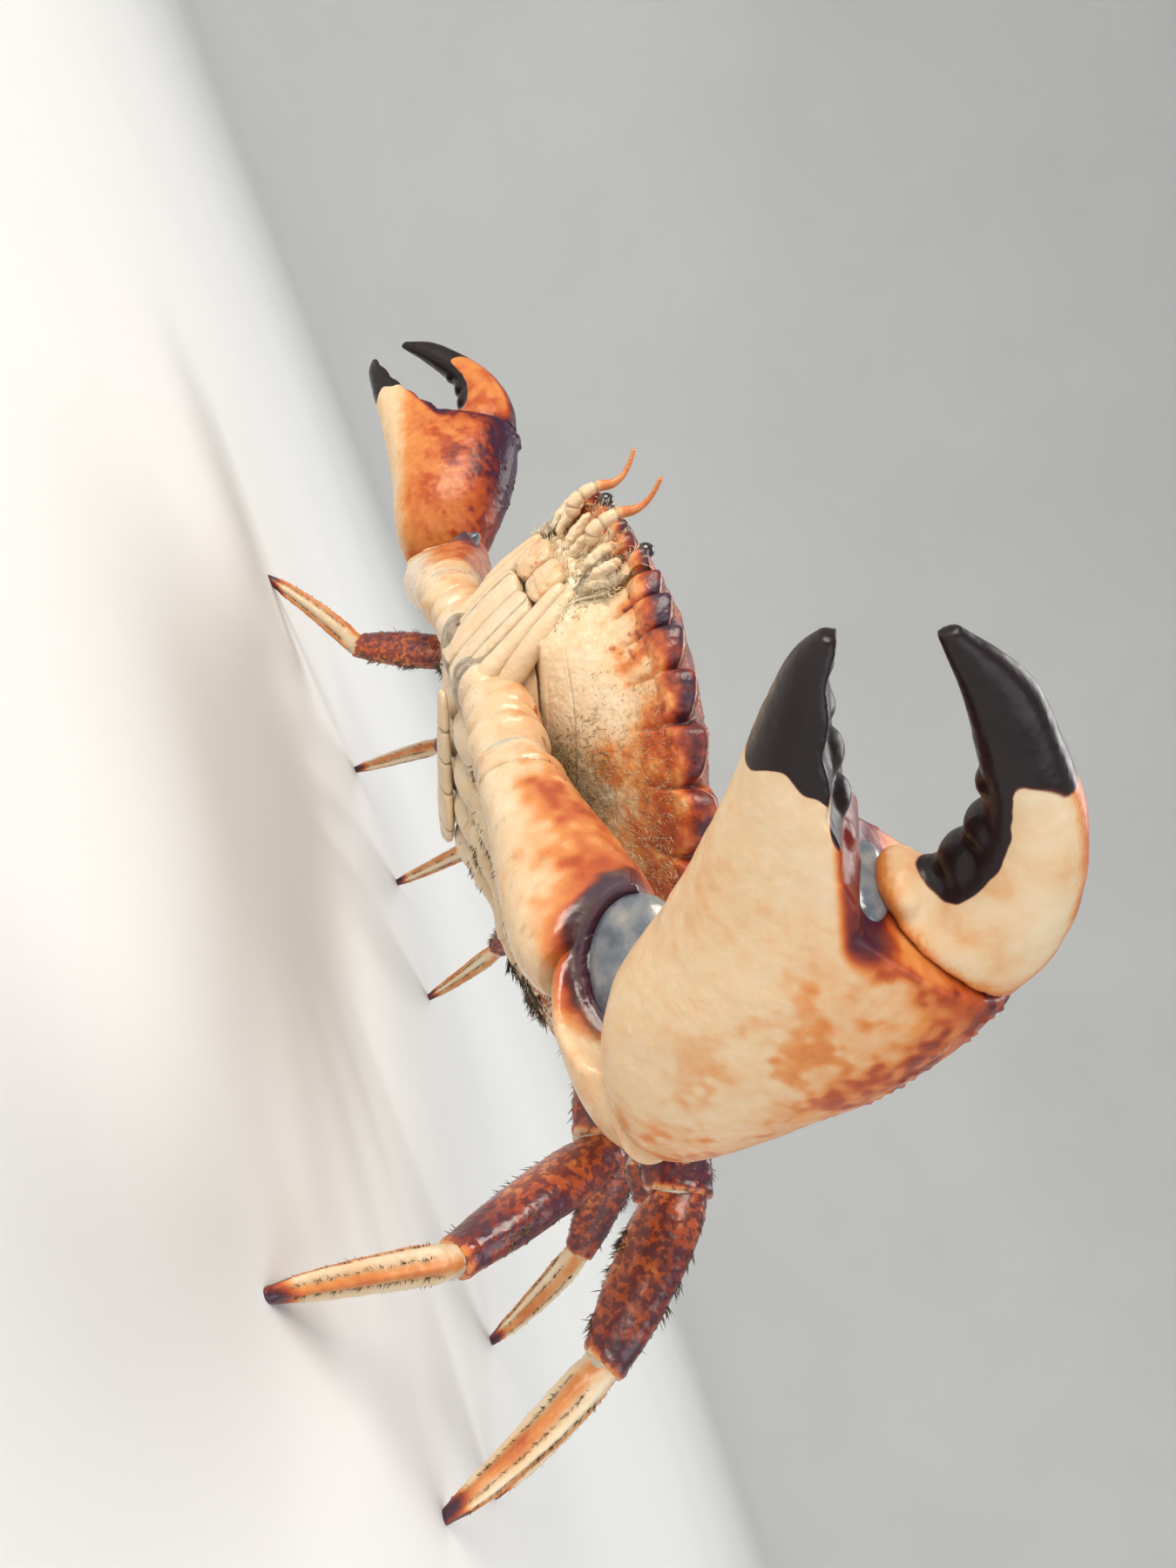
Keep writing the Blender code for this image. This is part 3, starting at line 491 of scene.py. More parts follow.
def normals_of(points, faces):
    total = np.zeros_like(points)
    for group in faces:
        corners = points[group]
        normal = np.cross(corners[:, 2] - corners[:, 0], corners[:, -1] - corners[:, 1])
        for k in range(group.shape[1]):
            np.add.at(total, group[:, k], normal)
    return total / np.maximum(np.linalg.norm(total, axis=1, keepdims=True), 1e-12)


def raised(points, faces, amount):
    """Points moved out of their surface, each by its own amount."""
    return points + normals_of(points, faces) * amount[:, None]


def relaxed(points, faces, rounds):
    """Points drawn half way towards the middle of their neighbours, some rounds over."""
    pairs = np.concatenate([np.stack((g[:, k], g[:, (k + 1) % g.shape[1]]), -1)
                            for g in faces for k in range(g.shape[1])])
    pairs = np.concatenate((pairs, pairs[:, ::-1]))
    count = np.bincount(pairs[:, 0], minlength=len(points))[:, None]
    for _ in range(rounds):
        sums = np.stack([np.bincount(pairs[:, 0], points[pairs[:, 1], i], len(points))
                         for i in range(3)], -1)
        points = points + 0.5 * (sums / np.maximum(count, 1) - points)
    return points


def softened(values, faces, rounds):
    """Values of the points, each drawn towards the mean of its neighbours."""
    return relaxed(np.repeat(values[:, None], 3, 1), faces, rounds)[:, 0]


def hollows(points, faces, rounds=6):
    """How deep each point lies in a groove, in millimetres, and below 0 on a crest."""
    flat = relaxed(points, faces, rounds)
    return ((flat - points) * normals_of(points, faces)).sum(1)


def dirt_and_shade(deep, strength, most, start=0.0):
    """Painted shade that darkens grooves, from how deep they are, with real dark marks added where
    start is below 0.
    """
    return np.clip(deep * strength - start, 0, most)


def bare_object(name, points, faces):
    data = bpy.data.meshes.new(name)
    data.from_pydata((points * MM).tolist(), [], [f for g in faces for f in g.tolist()])
    piece = bpy.data.objects.new(name, data)
    bpy.context.scene.collection.objects.link(piece)
    return piece


def joined(shells):
    """Several closed shells as one set of points and faces."""
    points, faces, start = [], [], 0
    for shell_points, shell_faces in shells:
        points.append(shell_points)
        faces += [group + start for group in shell_faces]
        start += len(shell_points)
    return np.concatenate(points), faces


def settled(piece):
    """The points and faces of an object with its modifiers applied; the object is removed."""
    bpy.context.view_layer.update()
    data = piece.evaluated_get(bpy.context.evaluated_depsgraph_get()).to_mesh()
    points = np.empty(len(data.vertices) * 3)
    data.vertices.foreach_get("co", points)
    sizes = np.empty(len(data.polygons), np.int32)
    data.polygons.foreach_get("loop_total", sizes)
    corners = np.empty(len(data.loops), np.int32)
    data.loops.foreach_get("vertex_index", corners)
    starts = np.cumsum(sizes) - sizes
    faces = [corners[starts[sizes == n][:, None] + np.arange(n)] for n in np.unique(sizes)]
    bpy.data.objects.remove(piece, do_unlink=True)
    return points.reshape(-1, 3) / MM, faces


def remesh(piece, voxel):
    fine = piece.modifiers.new("fine", "REMESH")
    fine.mode, fine.voxel_size = "VOXEL", voxel * MM


def fused(shells, voxel, rounds, cutters=(), extras=()):
    """One skin round overlapping closed shells, cut, added to, and softened at its creases."""
    points, faces = joined(shells)
    if cutters:
        piece = bare_object("whole", points, faces)
        remesh(piece, voxel)
        tools = []
        for k, cutter in enumerate(cutters):
            tools.append(bare_object(f"cutter_{k}", *cutter))
            cut = piece.modifiers.new("cut", "BOOLEAN")
            cut.operation, cut.solver, cut.object = "DIFFERENCE", "MANIFOLD", tools[-1]
        points, faces = settled(piece)
        for tool in tools:
            bpy.data.objects.remove(tool, do_unlink=True)
    if extras:
        points, faces = joined([(points, faces), *extras])
    piece = bare_object("whole", points, faces)
    remesh(piece, voxel)
    points, faces = settled(piece)
    return relaxed(points, faces, rounds), faces


def finish_piece(name, points, faces, look, masks, solid=True, patches=None):
    """Makes one piece of the crab, riding on its body and, if solid, standing for its node."""
    nodes = [name] if solid else []
    piece = bare_object(name, points, faces)
    piece.data.shade_smooth()
    for key, values in masks.items():
        layer = piece.data.attributes.new(key, "FLOAT", "POINT")
        layer.data.foreach_set("value", np.clip(values, 0, 1.2).astype(np.float32))
    if patches is not None:
        corners = np.empty(len(piece.data.loops), np.int32)
        piece.data.loops.foreach_get("vertex_index", corners)
        piece.data.uv_layers.new(name="OFBake").uv.foreach_set("vector", patches[corners].ravel())
    piece.data.materials.append(LOOKS[look])
    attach(piece, "root")
    if nodes:
        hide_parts(*nodes)


def finish_parts(name, parts, look, solid=True):
    """One piece from several parts, each of points, faces and masks."""
    points, faces = joined([part[:2] for part in parts])
    masks = {key: np.concatenate([part[2][key] for part in parts]) for key in parts[0][2]}
    finish_piece(name, points, faces, look, masks, solid)


# Finishes


def fill(tree, made, **inputs):
    """Sets or links a node's sockets by name, with _ for a space, or by number as at0."""
    for key, value in inputs.items():
        socket = made.inputs[int(key[2:]) if key[:2] == "at" else key.replace("_", " ")]
        if isinstance(value, bpy.types.NodeSocket):
            tree.links.new(value, socket)
        else:
            socket.default_value = value
    return made


def node(tree, kind, **inputs):
    return fill(tree, tree.nodes.new(kind), **inputs)


def calc(tree, operation, a, b=0.0, c=0.0):
    made = node(tree, "ShaderNodeMath", at0=a, at1=b, at2=c)
    made.operation = operation
    return made.outputs[0]


def mask(tree, name):
    made = tree.nodes.new("ShaderNodeAttribute")
    made.attribute_name = name
    return made.outputs["Fac"]


def noise_node(tree, place, scale, detail=3.0):
    return node(tree, "ShaderNodeTexNoise", Vector=place, Scale=scale, Detail=detail).outputs["Fac"]


def cells(tree, place, scale):
    return node(tree, "ShaderNodeTexVoronoi", Vector=place, Scale=scale).outputs["Distance"]


def bumps(tree, height, strength, distance):
    made = node(tree, "ShaderNodeBump", Strength=strength, Distance=distance, Height=height)
    return made.outputs[0]


def between(tree, value, low, high, out_low=0.0, out_high=1.0):
    return node(tree, "ShaderNodeMapRange", at0=value, at1=low, at2=high, at3=out_low,
                at4=out_high).outputs[0]


def ramp(tree, value, stops):
    made = node(tree, "ShaderNodeValToRGB", Fac=value)
    elements = made.color_ramp.elements
    while len(elements) < len(stops):
        elements.new(0.5)
    for element, (place, colour) in zip(elements, stops):
        element.position = place
        element.color = (*colour, 1)
    return made.outputs["Color"]


def mixed(tree, share, a, b):
    made = tree.nodes.new("ShaderNodeMix")
    made.data_type = "RGBA"
    return fill(tree, made, at0=share, at6=a, at7=b).outputs[2]


def new_look(name):
    look = bpy.data.materials.new(name)
    look.use_nodes = True
    tree = look.node_tree
    place = tree.nodes.new("ShaderNodeTexCoord").outputs["Object"]
    return look, tree, place, tree.nodes["Principled BSDF"]


def shell_look(name, mottle, fleck, pits, spot_size=2.2, gloss=0.30, coat=0.35, soft=0.10,
               shine=0.5):
    """Crab shell: a ramp of colours led by masks, with mottling, spots, painted shade in grooves
    together with real dark marks, and fine pits.
    """
    look, tree, place, shader = new_look(name)
    coarse = noise_node(tree, place, 95.0, 5.0)
    fine = noise_node(tree, place, 430.0)
    tint = calc(tree, "MULTIPLY_ADD", calc(tree, "SUBTRACT", coarse, 0.5), mottle * 2.4,
                mask(tree, "tint"))
    tint = calc(tree, "MULTIPLY_ADD", calc(tree, "SUBTRACT", fine, 0.5), fleck * 2.0, tint)
    colour = ramp(tree, tint, SHELL_RAMP)
    blot = noise_node(tree, place, 1000.0 / spot_size, 2.0)
    blot = calc(tree, "MULTIPLY_ADD", mask(tree, "spots"), 0.26, blot)
    spotted = between(tree, blot, 0.64, 0.72)
    spotted = calc(tree, "MULTIPLY", spotted, between(tree, mask(tree, "spots"), 0.0, 0.15))
    darker = ramp(tree, between(tree, tint, 0.0, 0.8, 0.44, 0.98), SHELL_RAMP)
    colour = mixed(tree, calc(tree, "MULTIPLY", spotted, 0.85), colour, darker)
    # Painted shade in grooves, on the underside and under the mouth plates, with real dark dots,
    # specks and joints, mixed in as dark brown
    dirt_and_shade = calc(tree, "MULTIPLY", mask(tree, "grime"), between(tree, fine, 0.25, 0.6, 0.4, 1.0))
    colour = mixed(tree, dirt_and_shade, colour, (*GRIME_AND_SHADE, 1))
    olive = calc(tree, "MULTIPLY", mask(tree, "olive"), between(tree, coarse, 0.3, 0.6, 0.5, 1.0))
    colour = mixed(tree, olive, colour, (*OLIVE, 1))
    inked = calc(tree, "MULTIPLY_ADD", calc(tree, "SUBTRACT", coarse, 0.5), 0.35,
                 mask(tree, "ink"))
    colour = mixed(tree, between(tree, inked, 0.40, 0.52), colour, (*INK_BORDER, 1))
    colour = mixed(tree, between(tree, inked, 0.47, 0.60), colour, (*INK, 1))
    height = calc(tree, "MULTIPLY_ADD", noise_node(tree, place, 1300.0, 4.0), 0.7,
                  cells(tree, place, 850.0))
    fill(tree, shader, Base_Color=colour, Normal=bumps(tree, height, pits, 0.0004),
         Roughness=between(tree, fine, 0.3, 0.7, gloss - 0.07, gloss + 0.12),
         Specular_IOR_Level=shine, Coat_Weight=coat, Coat_Roughness=0.12,
         Subsurface_Weight=soft, Subsurface_Radius=(1.0, 0.45, 0.2), Subsurface_Scale=0.002)
    return look


def membrane_look():
    look, tree, place, shader = new_look("joint_skin")
    cloud = noise_node(tree, place, 160.0, 4.0)
    cool = ramp(tree, cloud, ((0.30, (0.045, 0.055, 0.080)), (0.50, (0.13, 0.15, 0.18)),
                              (0.68, (0.30, 0.29, 0.27))))
    pale = ramp(tree, cloud, ((0.30, (0.36, 0.30, 0.22)), (0.70, (0.60, 0.54, 0.42))))
    folds = noise_node(tree, place, 500.0, 3.0)
    fill(tree, shader, Base_Color=mixed(tree, mask(tree, "pale"), cool, pale),
         Normal=bumps(tree, folds, 0.25, 0.0006),
         Roughness=between(tree, folds, 0.3, 0.7, 0.14, 0.30),
         Coat_Weight=0.6, Coat_Roughness=0.08, Subsurface_Weight=0.15, Subsurface_Scale=0.002)
    return look


def eye_look():
    look, tree, place, shader = new_look("eye_surface")
    facets = cells(tree, place, 4500.0)
    colour = ramp(tree, facets, ((0.0, (0.012, 0.010, 0.010)), (0.6, (0.03, 0.02, 0.018))))
    fill(tree, shader, Base_Color=colour, Normal=bumps(tree, facets, 0.2, 0.0001),
         Roughness=0.12, Coat_Weight=0.8)
    return look


def hair_look(name, stops):
    look, tree, place, shader = new_look(name)
    shade = calc(tree, "ADD", mask(tree, "shade"),
                 between(tree, noise_node(tree, place, 900.0), 0.3, 0.7, -0.15, 0.15))
    fill(tree, shader, Base_Color=ramp(tree, shade, stops),
         Roughness=between(tree, shade, 0.0, 1.0, 0.55, 0.32))
    return look


LOOKS = {
    "carapace": shell_look("carapace_finish", 0.12, 0.16, 0.4, gloss=0.36, coat=0.15),
    "sternum": shell_look("sternum_finish", 0.05, 0.05, 0.12, soft=0.15),
    "mouth": shell_look("mouth_finish", 0.07, 0.08, 0.3, gloss=0.4, coat=0.15),
    "arm": shell_look("arm_finish", 0.12, 0.07, 0.2),
    "claw": shell_look("claw_finish", 0.10, 0.10, 0.15, gloss=0.34, coat=0.12, soft=0.15,
                       shine=0.25),
    "leg": shell_look("leg_finish", 0.14, 0.20, 0.3, spot_size=1.5),
    "tip": shell_look("tip_finish", 0.10, 0.10, 0.3, gloss=0.38, coat=0.15),
    "membrane": membrane_look(),
    "eye": eye_look(),
    "dark_hair": hair_look("dark_hair_finish", ((0.0, (0.035, 0.020, 0.010)),
                                                (1.0, (0.20, 0.125, 0.060)))),
    "gold_hair": hair_look("gold_hair_finish", ((0.0, (0.34, 0.20, 0.07)),
                                                (1.0, (0.85, 0.72, 0.48)))),
}


# Carapace


def edge_height(y):
    return -REAR_DROP * step(y, DROP_START_Y, DROP_START_Y + DROP_LENGTH)


def mouth_y(z):
    """How far forward the sloping field of the mouth lies at height z of the body frame."""
    slope = (MOUTH_FRONT_Y - MOUTH_REAR_Y) / (STERNUM_DEPTH - MOUTH_TOP)
    return MOUTH_REAR_Y + slope * (z + STERNUM_DEPTH)


def half_outline():
    """Left half of the edge as base, push out of it, lobe height and lobe share, in rows."""
    rows = []
    knots = [(k / (len(FRONT_EDGE) - 1), *spot) for k, spot in enumerate(FRONT_EDGE)]
    for t in np.linspace(0, 1, FRONT_POINTS, endpoint=False):
        x, y = curve(knots, t)
        base_y = max(FRONT_BASE_Y + FRONT_BASE_SLOPE * x, y)
        rows.append((x, base_y, 0.0, y - base_y, 0.0, -1.0))
    across = LOBES_START_X / EDGE_HALF_WIDTH
    angle = atan2(across, (1 - across**2) ** 0.5)
    for k in range(LOBES):
        share = k / (LOBES - 1)
        height = blend(FIRST_LOBE_HEIGHT, LAST_LOBE_HEIGHT, share)
        speed = hypot(EDGE_HALF_WIDTH * cos(angle), EDGE_DEPTH * sin(angle))
        turn = blend(FIRST_LOBE, LAST_LOBE, share) / speed
        for t in np.linspace(0, 1, LOBE_POINTS, endpoint=False):
            a = angle + turn * t
            base = EDGE_HALF_WIDTH * sin(a), EDGE_CENTRE_Y - EDGE_DEPTH * cos(a)
            out = unit((EDGE_DEPTH * sin(a), -EDGE_HALF_WIDTH * cos(a)))
            rise = float(curve(LOBE_SHAPE, t)[0]) * height
            push = (out + np.array((out[1], -out[0])) * LOBE_LEAN) * rise
            rows.append((*base, *push, rise, t))
        angle += turn
    start = np.array((EDGE_HALF_WIDTH * sin(angle), EDGE_CENTRE_Y - EDGE_DEPTH * cos(angle)))
    corner = np.array((REAR_HALF_WIDTH, REAR_Y - 1.0))
    for t in np.linspace(0, 1, REAR_SIDE_POINTS, endpoint=False):
        spot = blend(start, corner, t) + np.array(REAR_SIDE_BOW) * sin(pi * t)
        rows.append((*spot, 0.0, 0.0, 0.0, -1.0))
    for t in np.linspace(0, 1, REAR_POINTS):
        rows.append((REAR_HALF_WIDTH * (1 - t), REAR_Y - 1.0 * (1 - t) ** 3, 0, 0, 0.0, -1.0))
    return np.array(rows)


def whole_outline():
    half = half_outline()
    other = half[1:-1][::-1] * (-1, 1, -1, 1, 1, 1)
    return np.concatenate((half, other))


def relief(x, y):
    """Swellings of the back over stomach, gills and heart, with the grooves between them."""
    swell = sum(height * np.exp(-((x - mid_x) / wide) ** 2 - ((y - mid_y) / long) ** 2)
                for mid_x, mid_y, wide, long, height in RELIEF)
    for side in (-1, 1):
        for mid_x, mid_y, wide, height in SIDE_SWELLINGS:
            swell = swell + height * hump(np.hypot(x - side * mid_x, y - mid_y), 0, wide)
        swell = swell - 0.5 * hump(y + 7 + 0.006 * x * x, 0, 2.2) * hump(x - side * 14, 0, 9)
    return swell


def carapace_grid():
    """Rings of the carapace from its middle over the edge to the thorax, with their shares."""
    rows = whole_outline()
    base, push, rise, along = rows[:, :2], rows[:, 2:4], rows[:, 4], rows[:, 5]
    ahead = np.roll(base, -1, 0) - np.roll(base, 1, 0)
    out = unit(np.stack((-ahead[:, 1], ahead[:, 0]), -1))
    out = out * np.sign((out * (base - (0, DOME_CENTRE_Y))).sum(1))[:, None]
    lobed = step(along, -0.9, -0.1)
    lift = LOBE_LIFT * rise
    notch = (hump(along, 0, 0.07) + hump(along, 1, 0.07)) * lobed
    push = push - out * (NOTCH_DEPTH * notch)[:, None]
    phase = np.clip(along, 0, 1)
    swell = step(phase, 0.0, 0.30) * (1 - step(phase, 0.45, 1.0)) * lobed
    inset = blend(NOTCH_INWARD, LOBE_INWARD, swell)[:, None]
    drop = (RIM_DROP + LOBED_RIM_DROP * lobed + 0.5 * lift + LOBE_SWELL * swell)[:, None]
    rings, kinds = [], []
    for share in 1 - (1 - np.linspace(0.02, 1, BACK_RINGS)) ** 1.25:
        x = base[:, 0] * share
        y = blend(DOME_CENTRE_Y, base[:, 1], share)
        z = edge_height(base[:, 1]) * share**3
        z = z + DOME_HEIGHT * (1 - share**DOME_FALL) ** DOME_FULLNESS
        z = z + relief(x, y) * min(1.0, (1 - share) * 5)
        keep = step(share, 0.84, 1.0) ** 1.6
        spot = np.stack((x, y), -1) + push * keep - out * EDGE_ROUNDING * step(share, 0.9, 1.0)
        rings.append(np.column_stack((spot, z + lift * keep)))
        kinds.append(share)
    edge = (edge_height(base[:, 1]) + lift)[:, None]
    for turn in np.linspace(0, 1, RIM_RINGS)[1:]:
        angle = turn * pi
        if turn <= 0.5:
            depth, fall = EDGE_ROUNDING, 1 - cos(angle)
        else:
            depth, fall = inset, 1 - drop * cos(angle)
        spot = base + push + out * depth * (sin(angle) - 1)
        rings.append(np.column_stack((spot, edge - fall)))
        kinds.append(1 + turn)
    angle = np.arctan2(base[:, 1] - UNDERSIDE_CENTRE_Y, base[:, 0])
    power = UNDERSIDE_SQUARENESS
    reach = (np.abs(np.cos(angle) / UNDERSIDE_HALF_WIDTH) ** power
             + np.abs(np.sin(angle) / UNDERSIDE_HALF_LENGTH) ** power) ** (-1 / power)
    inner = np.stack((reach * np.cos(angle), UNDERSIDE_CENTRE_Y + reach * np.sin(angle)), -1)
    start = base + push - out * inset
    for share in np.linspace(0, 1, UNDERSIDE_RINGS)[1:]:
        fade = 1 - step(share, 0.0, LOBE_REACH)
        bulge = 1.9 * sin(pi * min(1.0, share * 1.02)) ** 0.8 if share < 0.98 else 0.0
        z = blend(edge[:, 0] - lift - FACE_DROP, -UNDERSIDE_DEPTH, share)
        z = z + (FACE_DROP - 1 - drop[:, 0] + lift) * fade - bulge
        spot = blend(blend(base - out * FACE_INSET, start, fade), inner, share)
        y = np.maximum(spot[:, 1], mouth_y(z))
        rings.append(np.stack((spot[:, 0], y, z), -1))
        kinds.append(2 + share)
    return np.array(rings), np.array(kinds), rows


def build_carapace():
    grid, kinds, rows = carapace_grid()
    shape = grid.shape[:2]
    points, faces = closed(grid)
    kind = spread(kinds[:, None], shape)
    x, y, z = points.T
    top = 1 - step(kind, 0.97, 1.25)
    under = step(kind, 1.6, 2.0)
    inward = spread(np.clip(kinds[:, None] - 2, 0, 1), shape)
    from_edge = np.zeros(shape)
    rim = int(np.argmax(kinds >= 1.4))
    from_edge[rim:] = np.linalg.norm(grid[rim:] - grid[rim], axis=-1)
    from_edge = spread(from_edge, shape)
    coarse, mid, small = noise(points, 9.0), noise(points, 3.2, 4), noise(points, 1.3, 21)
    side = np.arctan2(np.abs(x), -(y - EDGE_CENTRE_Y)) / pi
    front = under * (1 - step(np.abs(x), 20, 25)) * step(-y, 15, 25)
    rough = top * (0.35 + 0.65 * step(np.abs(x) / 60 + coarse * 0.3, 0.2, 0.9))
    grain = grains(points, 1.5, 5) * rough * 0.34 + grains(points, 3.1, 9) * rough * 0.30
    suture = under * hump(inward, 0.66 + 0.02 * np.sin(y / 9), 0.008)
    suture = suture * step(side, 0.16, 0.3) * (1 - step(side, 0.72, 0.8))
    amount = grain + 0.22 * mid * top + 0.08 * small * (top + under)
    amount = amount - 0.28 * suture + 0.35 * under * noise(points, 6.0, 11)
    knobs = grains(points, 2.6, 14, 0.45)
    amount = amount + front * (0.30 * mid + 0.55 * knobs) * step(inward, 0.02, 0.1)
    points = raised(points, faces, amount)
    # Painted shade, deepest in the grooves of the shell
    grooves = dirt_and_shade(hollows(points, faces), 2.0, 0.8, 0.08)
    warm = blend(11.0, 38.0, step(side, 0.15, 0.5)) * (1 + 0.35 * coarse + 0.15 * mid)
    fade = np.clip(from_edge / warm, 0, 1)
    reach = spread(rows[None, :, 4], shape)
    dark = 1 - step(from_edge, 0.4 + 0.3 * reach, 2.2 + 1.0 * reach)
    tint = 0.15 + 0.36 * (1 - step(fade, 0.15, 1.0)) + blend(0.40, 0.20, step(side, 0.3, 0.5)) * dark
    tint = tint + (0.17 * mid + 0.15 * small) * (1 - 0.75 * fade) + 0.07 * coarse
    patch = hump(np.abs(x), 11, 3.5) * hump(z, -7.5, 2.2) * (0.7 + 0.6 * mid)
    tint = tint + front * (0.34 * patch - 0.10 - 0.10 * knobs)
    # Field of the mouth under its plates, where painted shade is laid
    field = step(-z, 15.0, 17.0) * (1 - step(np.abs(x), 19, 21)) * step(1.5 + mouth_y(z) - y, 0, 1)
    back = 0.72 + 0.13 * coarse + 0.08 * mid - grain * 0.9
    tint = blend(tint, back, top)
    tint = tint * (1 - 0.8 * hump(kind, 1.16, 0.07) * step(reach, 0.5, 1.4))
    olive = under * step(inward, 0.45, 0.8) * step(side, 0.30, 0.42) * (1 - step(side, 0.8, 0.95))
    dots = step(noise(points, 1.1, 13), 0.62, 0.8)
    masks = {
        "tint": tint,
        # Painted shade in grooves, stronger on the underside and over the mouth's field; the suture
        # and the dots are real dark marks
        "grime": grooves * (0.5 + 0.5 * under) * (1 - 0.8 * front)
        + 0.45 * suture + 0.22 * under * dots * (1 - fade) + 0.35 * under * field,
        "olive": olive * 0.85,
        "spots": top * 0.35 + under * (1 - fade) * 0.5 * step(-side, -0.45, -0.1),
    }
    finish_piece("carapace", in_row(points), faces, "carapace", masks)
    build_fuzz(points[:-2].reshape(*shape, 3), kinds, side[:-2].reshape(shape),
               front[:-2].reshape(shape), olive[:-2].reshape(shape))


# Thorax


def ellipsoid(centre, axes, sizes, rings=24, sides=32):
    """A closed ellipsoid with half sizes along its three axes."""
    lat = np.linspace(-pi / 2, pi / 2, rings + 2)[1:-1, None]
    lon = turns(sides)[None]
    ball = np.stack((np.cos(lat) * np.cos(lon), np.cos(lat) * np.sin(lon),
                     np.sin(lat) + 0 * lon), -1)
    grid = np.asarray(centre) + (ball * np.asarray(sizes)) @ np.asarray(axes)
    points, faces = closed(grid)
    poles = np.asarray(centre) + np.array(((0, 0, -sizes[2]), (0, 0, sizes[2]))) @ np.asarray(axes)
    points[-2:] = poles
    return points, faces


def limb_root(index, side):
    """Middle and outward normal, in the row, of the thorax's face for one pair of limbs."""
    x0, x1 = ROOT_X[index:index + 2]
    y0, y1 = ROOT_Y[index:index + 2]
    top, bottom = -UNDERSIDE_DEPTH - GAP, -STERNUM_DEPTH
    normal = unit(np.cross((x1 - x0, y1 - y0, 0), (-ROOT_SLOPE, 0, bottom - top)))
    normal = normal * (np.sign(normal[0]) * side, np.sign(normal[0]), np.sign(normal[0]))
    middle = np.array((side * (x0 + x1 - ROOT_SLOPE) / 2, (y0 + y1) / 2, (top + bottom) / 2))
    return in_row(middle), TURN @ normal


def prism(lower, upper, low_z, high_z):
    """A closed block between two outlines of plan positions, in the body frame."""
    grid = np.array([[(x, y, z) for x, y in ring] for ring, z in ((lower, low_z), (upper, high_z))])
    return closed(grid)


def build_thorax():
    top, bottom = -UNDERSIDE_DEPTH - GAP, -STERNUM_DEPTH
    upper = [(MOUTH_HALF_WIDTH, mouth_y(top)), *zip(ROOT_X, ROOT_Y), THORAX_REAR_TOP]
    lower = [(MOUTH_HALF_WIDTH - 1, mouth_y(bottom) + 1)]
    lower += [(x - ROOT_SLOPE - 1, y) for x, y in zip(ROOT_X, ROOT_Y)] + [(4.0, 36.5)]
    rings = [half + [(-x, y) for x, y in reversed(half)] for half in (lower, upper)]
    shells = [prism(rings[0], rings[1], bottom + 1.6, top)]
    for side in (-1, 1):
        for k in range(5):
            y = (ROOT_Y[k] + ROOT_Y[k + 1]) / 2
            reach = (ROOT_X[k] + ROOT_X[k + 1]) / 2 - ROOT_SLOPE / 2
            along = unit((side, (y - 9) * 0.012, 0.10))
            out = unit(np.cross((0, 0, 1), along))
            axes = np.array((along, out, np.cross(along, out)))
            half = (ROOT_Y[k + 1] - ROOT_Y[k]) / 2
            shells.append(ellipsoid((side * reach * 0.52, y, bottom + 4.4), axes,
                                    (reach * 0.55, half * 1.08, 5.0)))
    points, faces = fused(shells, THORAX_VOXEL, 3)
    x, y, z = points.T
    masks = {
        "tint": 0.08 + 0.10 * noise(points, 7.0, 2) + 0.10 * step(np.abs(x), 14, 24),
        # Painted shade in creases and on the slope under the mouth plates, with real dark speckles
        "grime": dirt_and_shade(hollows(points, faces, 10), 5.0, 0.85, 0.1)
        + 0.5 * step(noise(points, 0.9, 8), 0.72, 0.8)
        + 0.8 * step(1.8 + mouth_y(z) - y, 0, 1) * (np.abs(x) < 14),
    }
    points = raised(in_row(points), faces, 0.10 * noise(points, 2.5, 3))
    finish_piece("thorax", points, faces, "sternum", masks)


# Limbs


def limb(start, end, planes, up, stations, shape, domes, rings=64, sides=48):
    """Grid of a straight limb piece between two planes, with domed ends, shares and angles."""
    axis = unit(end - start)
    side = unit(np.cross(axis, up))
    top = np.cross(side, axis)
    share = np.linspace(0, 1, rings)[:, None]
    angle = turns(sides)[None]
    height, width, lift = [column[:, None] for column in sampled(stations, rings).T]
    grow = shape(share, angle)
    across = rounded(np.cos(angle)) * width / 2 * grow
    rise = rounded(np.sin(angle)) * height / 2 * grow + lift
    foot = start + across[..., None] * side + rise[..., None] * top
    low, high = [((spot - foot) @ normal) / (axis @ normal) for spot, normal in planes]
    grid = foot + (low + (high - low) * share)[..., None] * axis
    ends = []
    for ring, way, depth in ((grid[0], -axis, domes[0]), (grid[-1], axis, domes[1])):
        centre = ring.mean(0)
        ends.append([centre + (ring - centre) * cos(turn) + way * depth * sin(turn)
                     for turn in np.linspace(0, pi / 2, 7)[1:-1]])
    grid = np.concatenate((ends[0][::-1], grid, ends[1]))
    share = np.concatenate((np.zeros((5, 1)), share, np.ones((5, 1))))
    return grid, share, angle


def way(azimuth, rise, side):
    a, e = radians(azimuth), radians(rise)
    return np.array((side * cos(a) * cos(e), -sin(a) * cos(e), sin(e)))


def leg_joints(index, side):
    """Joints of one walking leg, bent down beyond its merus until the tip is on the floor."""
    root, _ = limb_root(index + 1, side)
    azimuths = LEG_AZIMUTHS[SIDES[side]][index]
    first, second = LEG_BENDS[index]
    low, high = -90.0, 40.0
    for _ in range(40):
        bend = (low + high) / 2
        rises = (COXA_RISE, LEG_RISE[index], bend, bend - first, bend - first - second)
        points = [root]
        for length, azimuth, rise in zip(LEG_LENGTHS[index], azimuths, rises):
            points.append(points[-1] + way(azimuth, rise, side) * length)
        if points[-1][2] > 0:
            high = bend
        else:
            low = bend
    return points


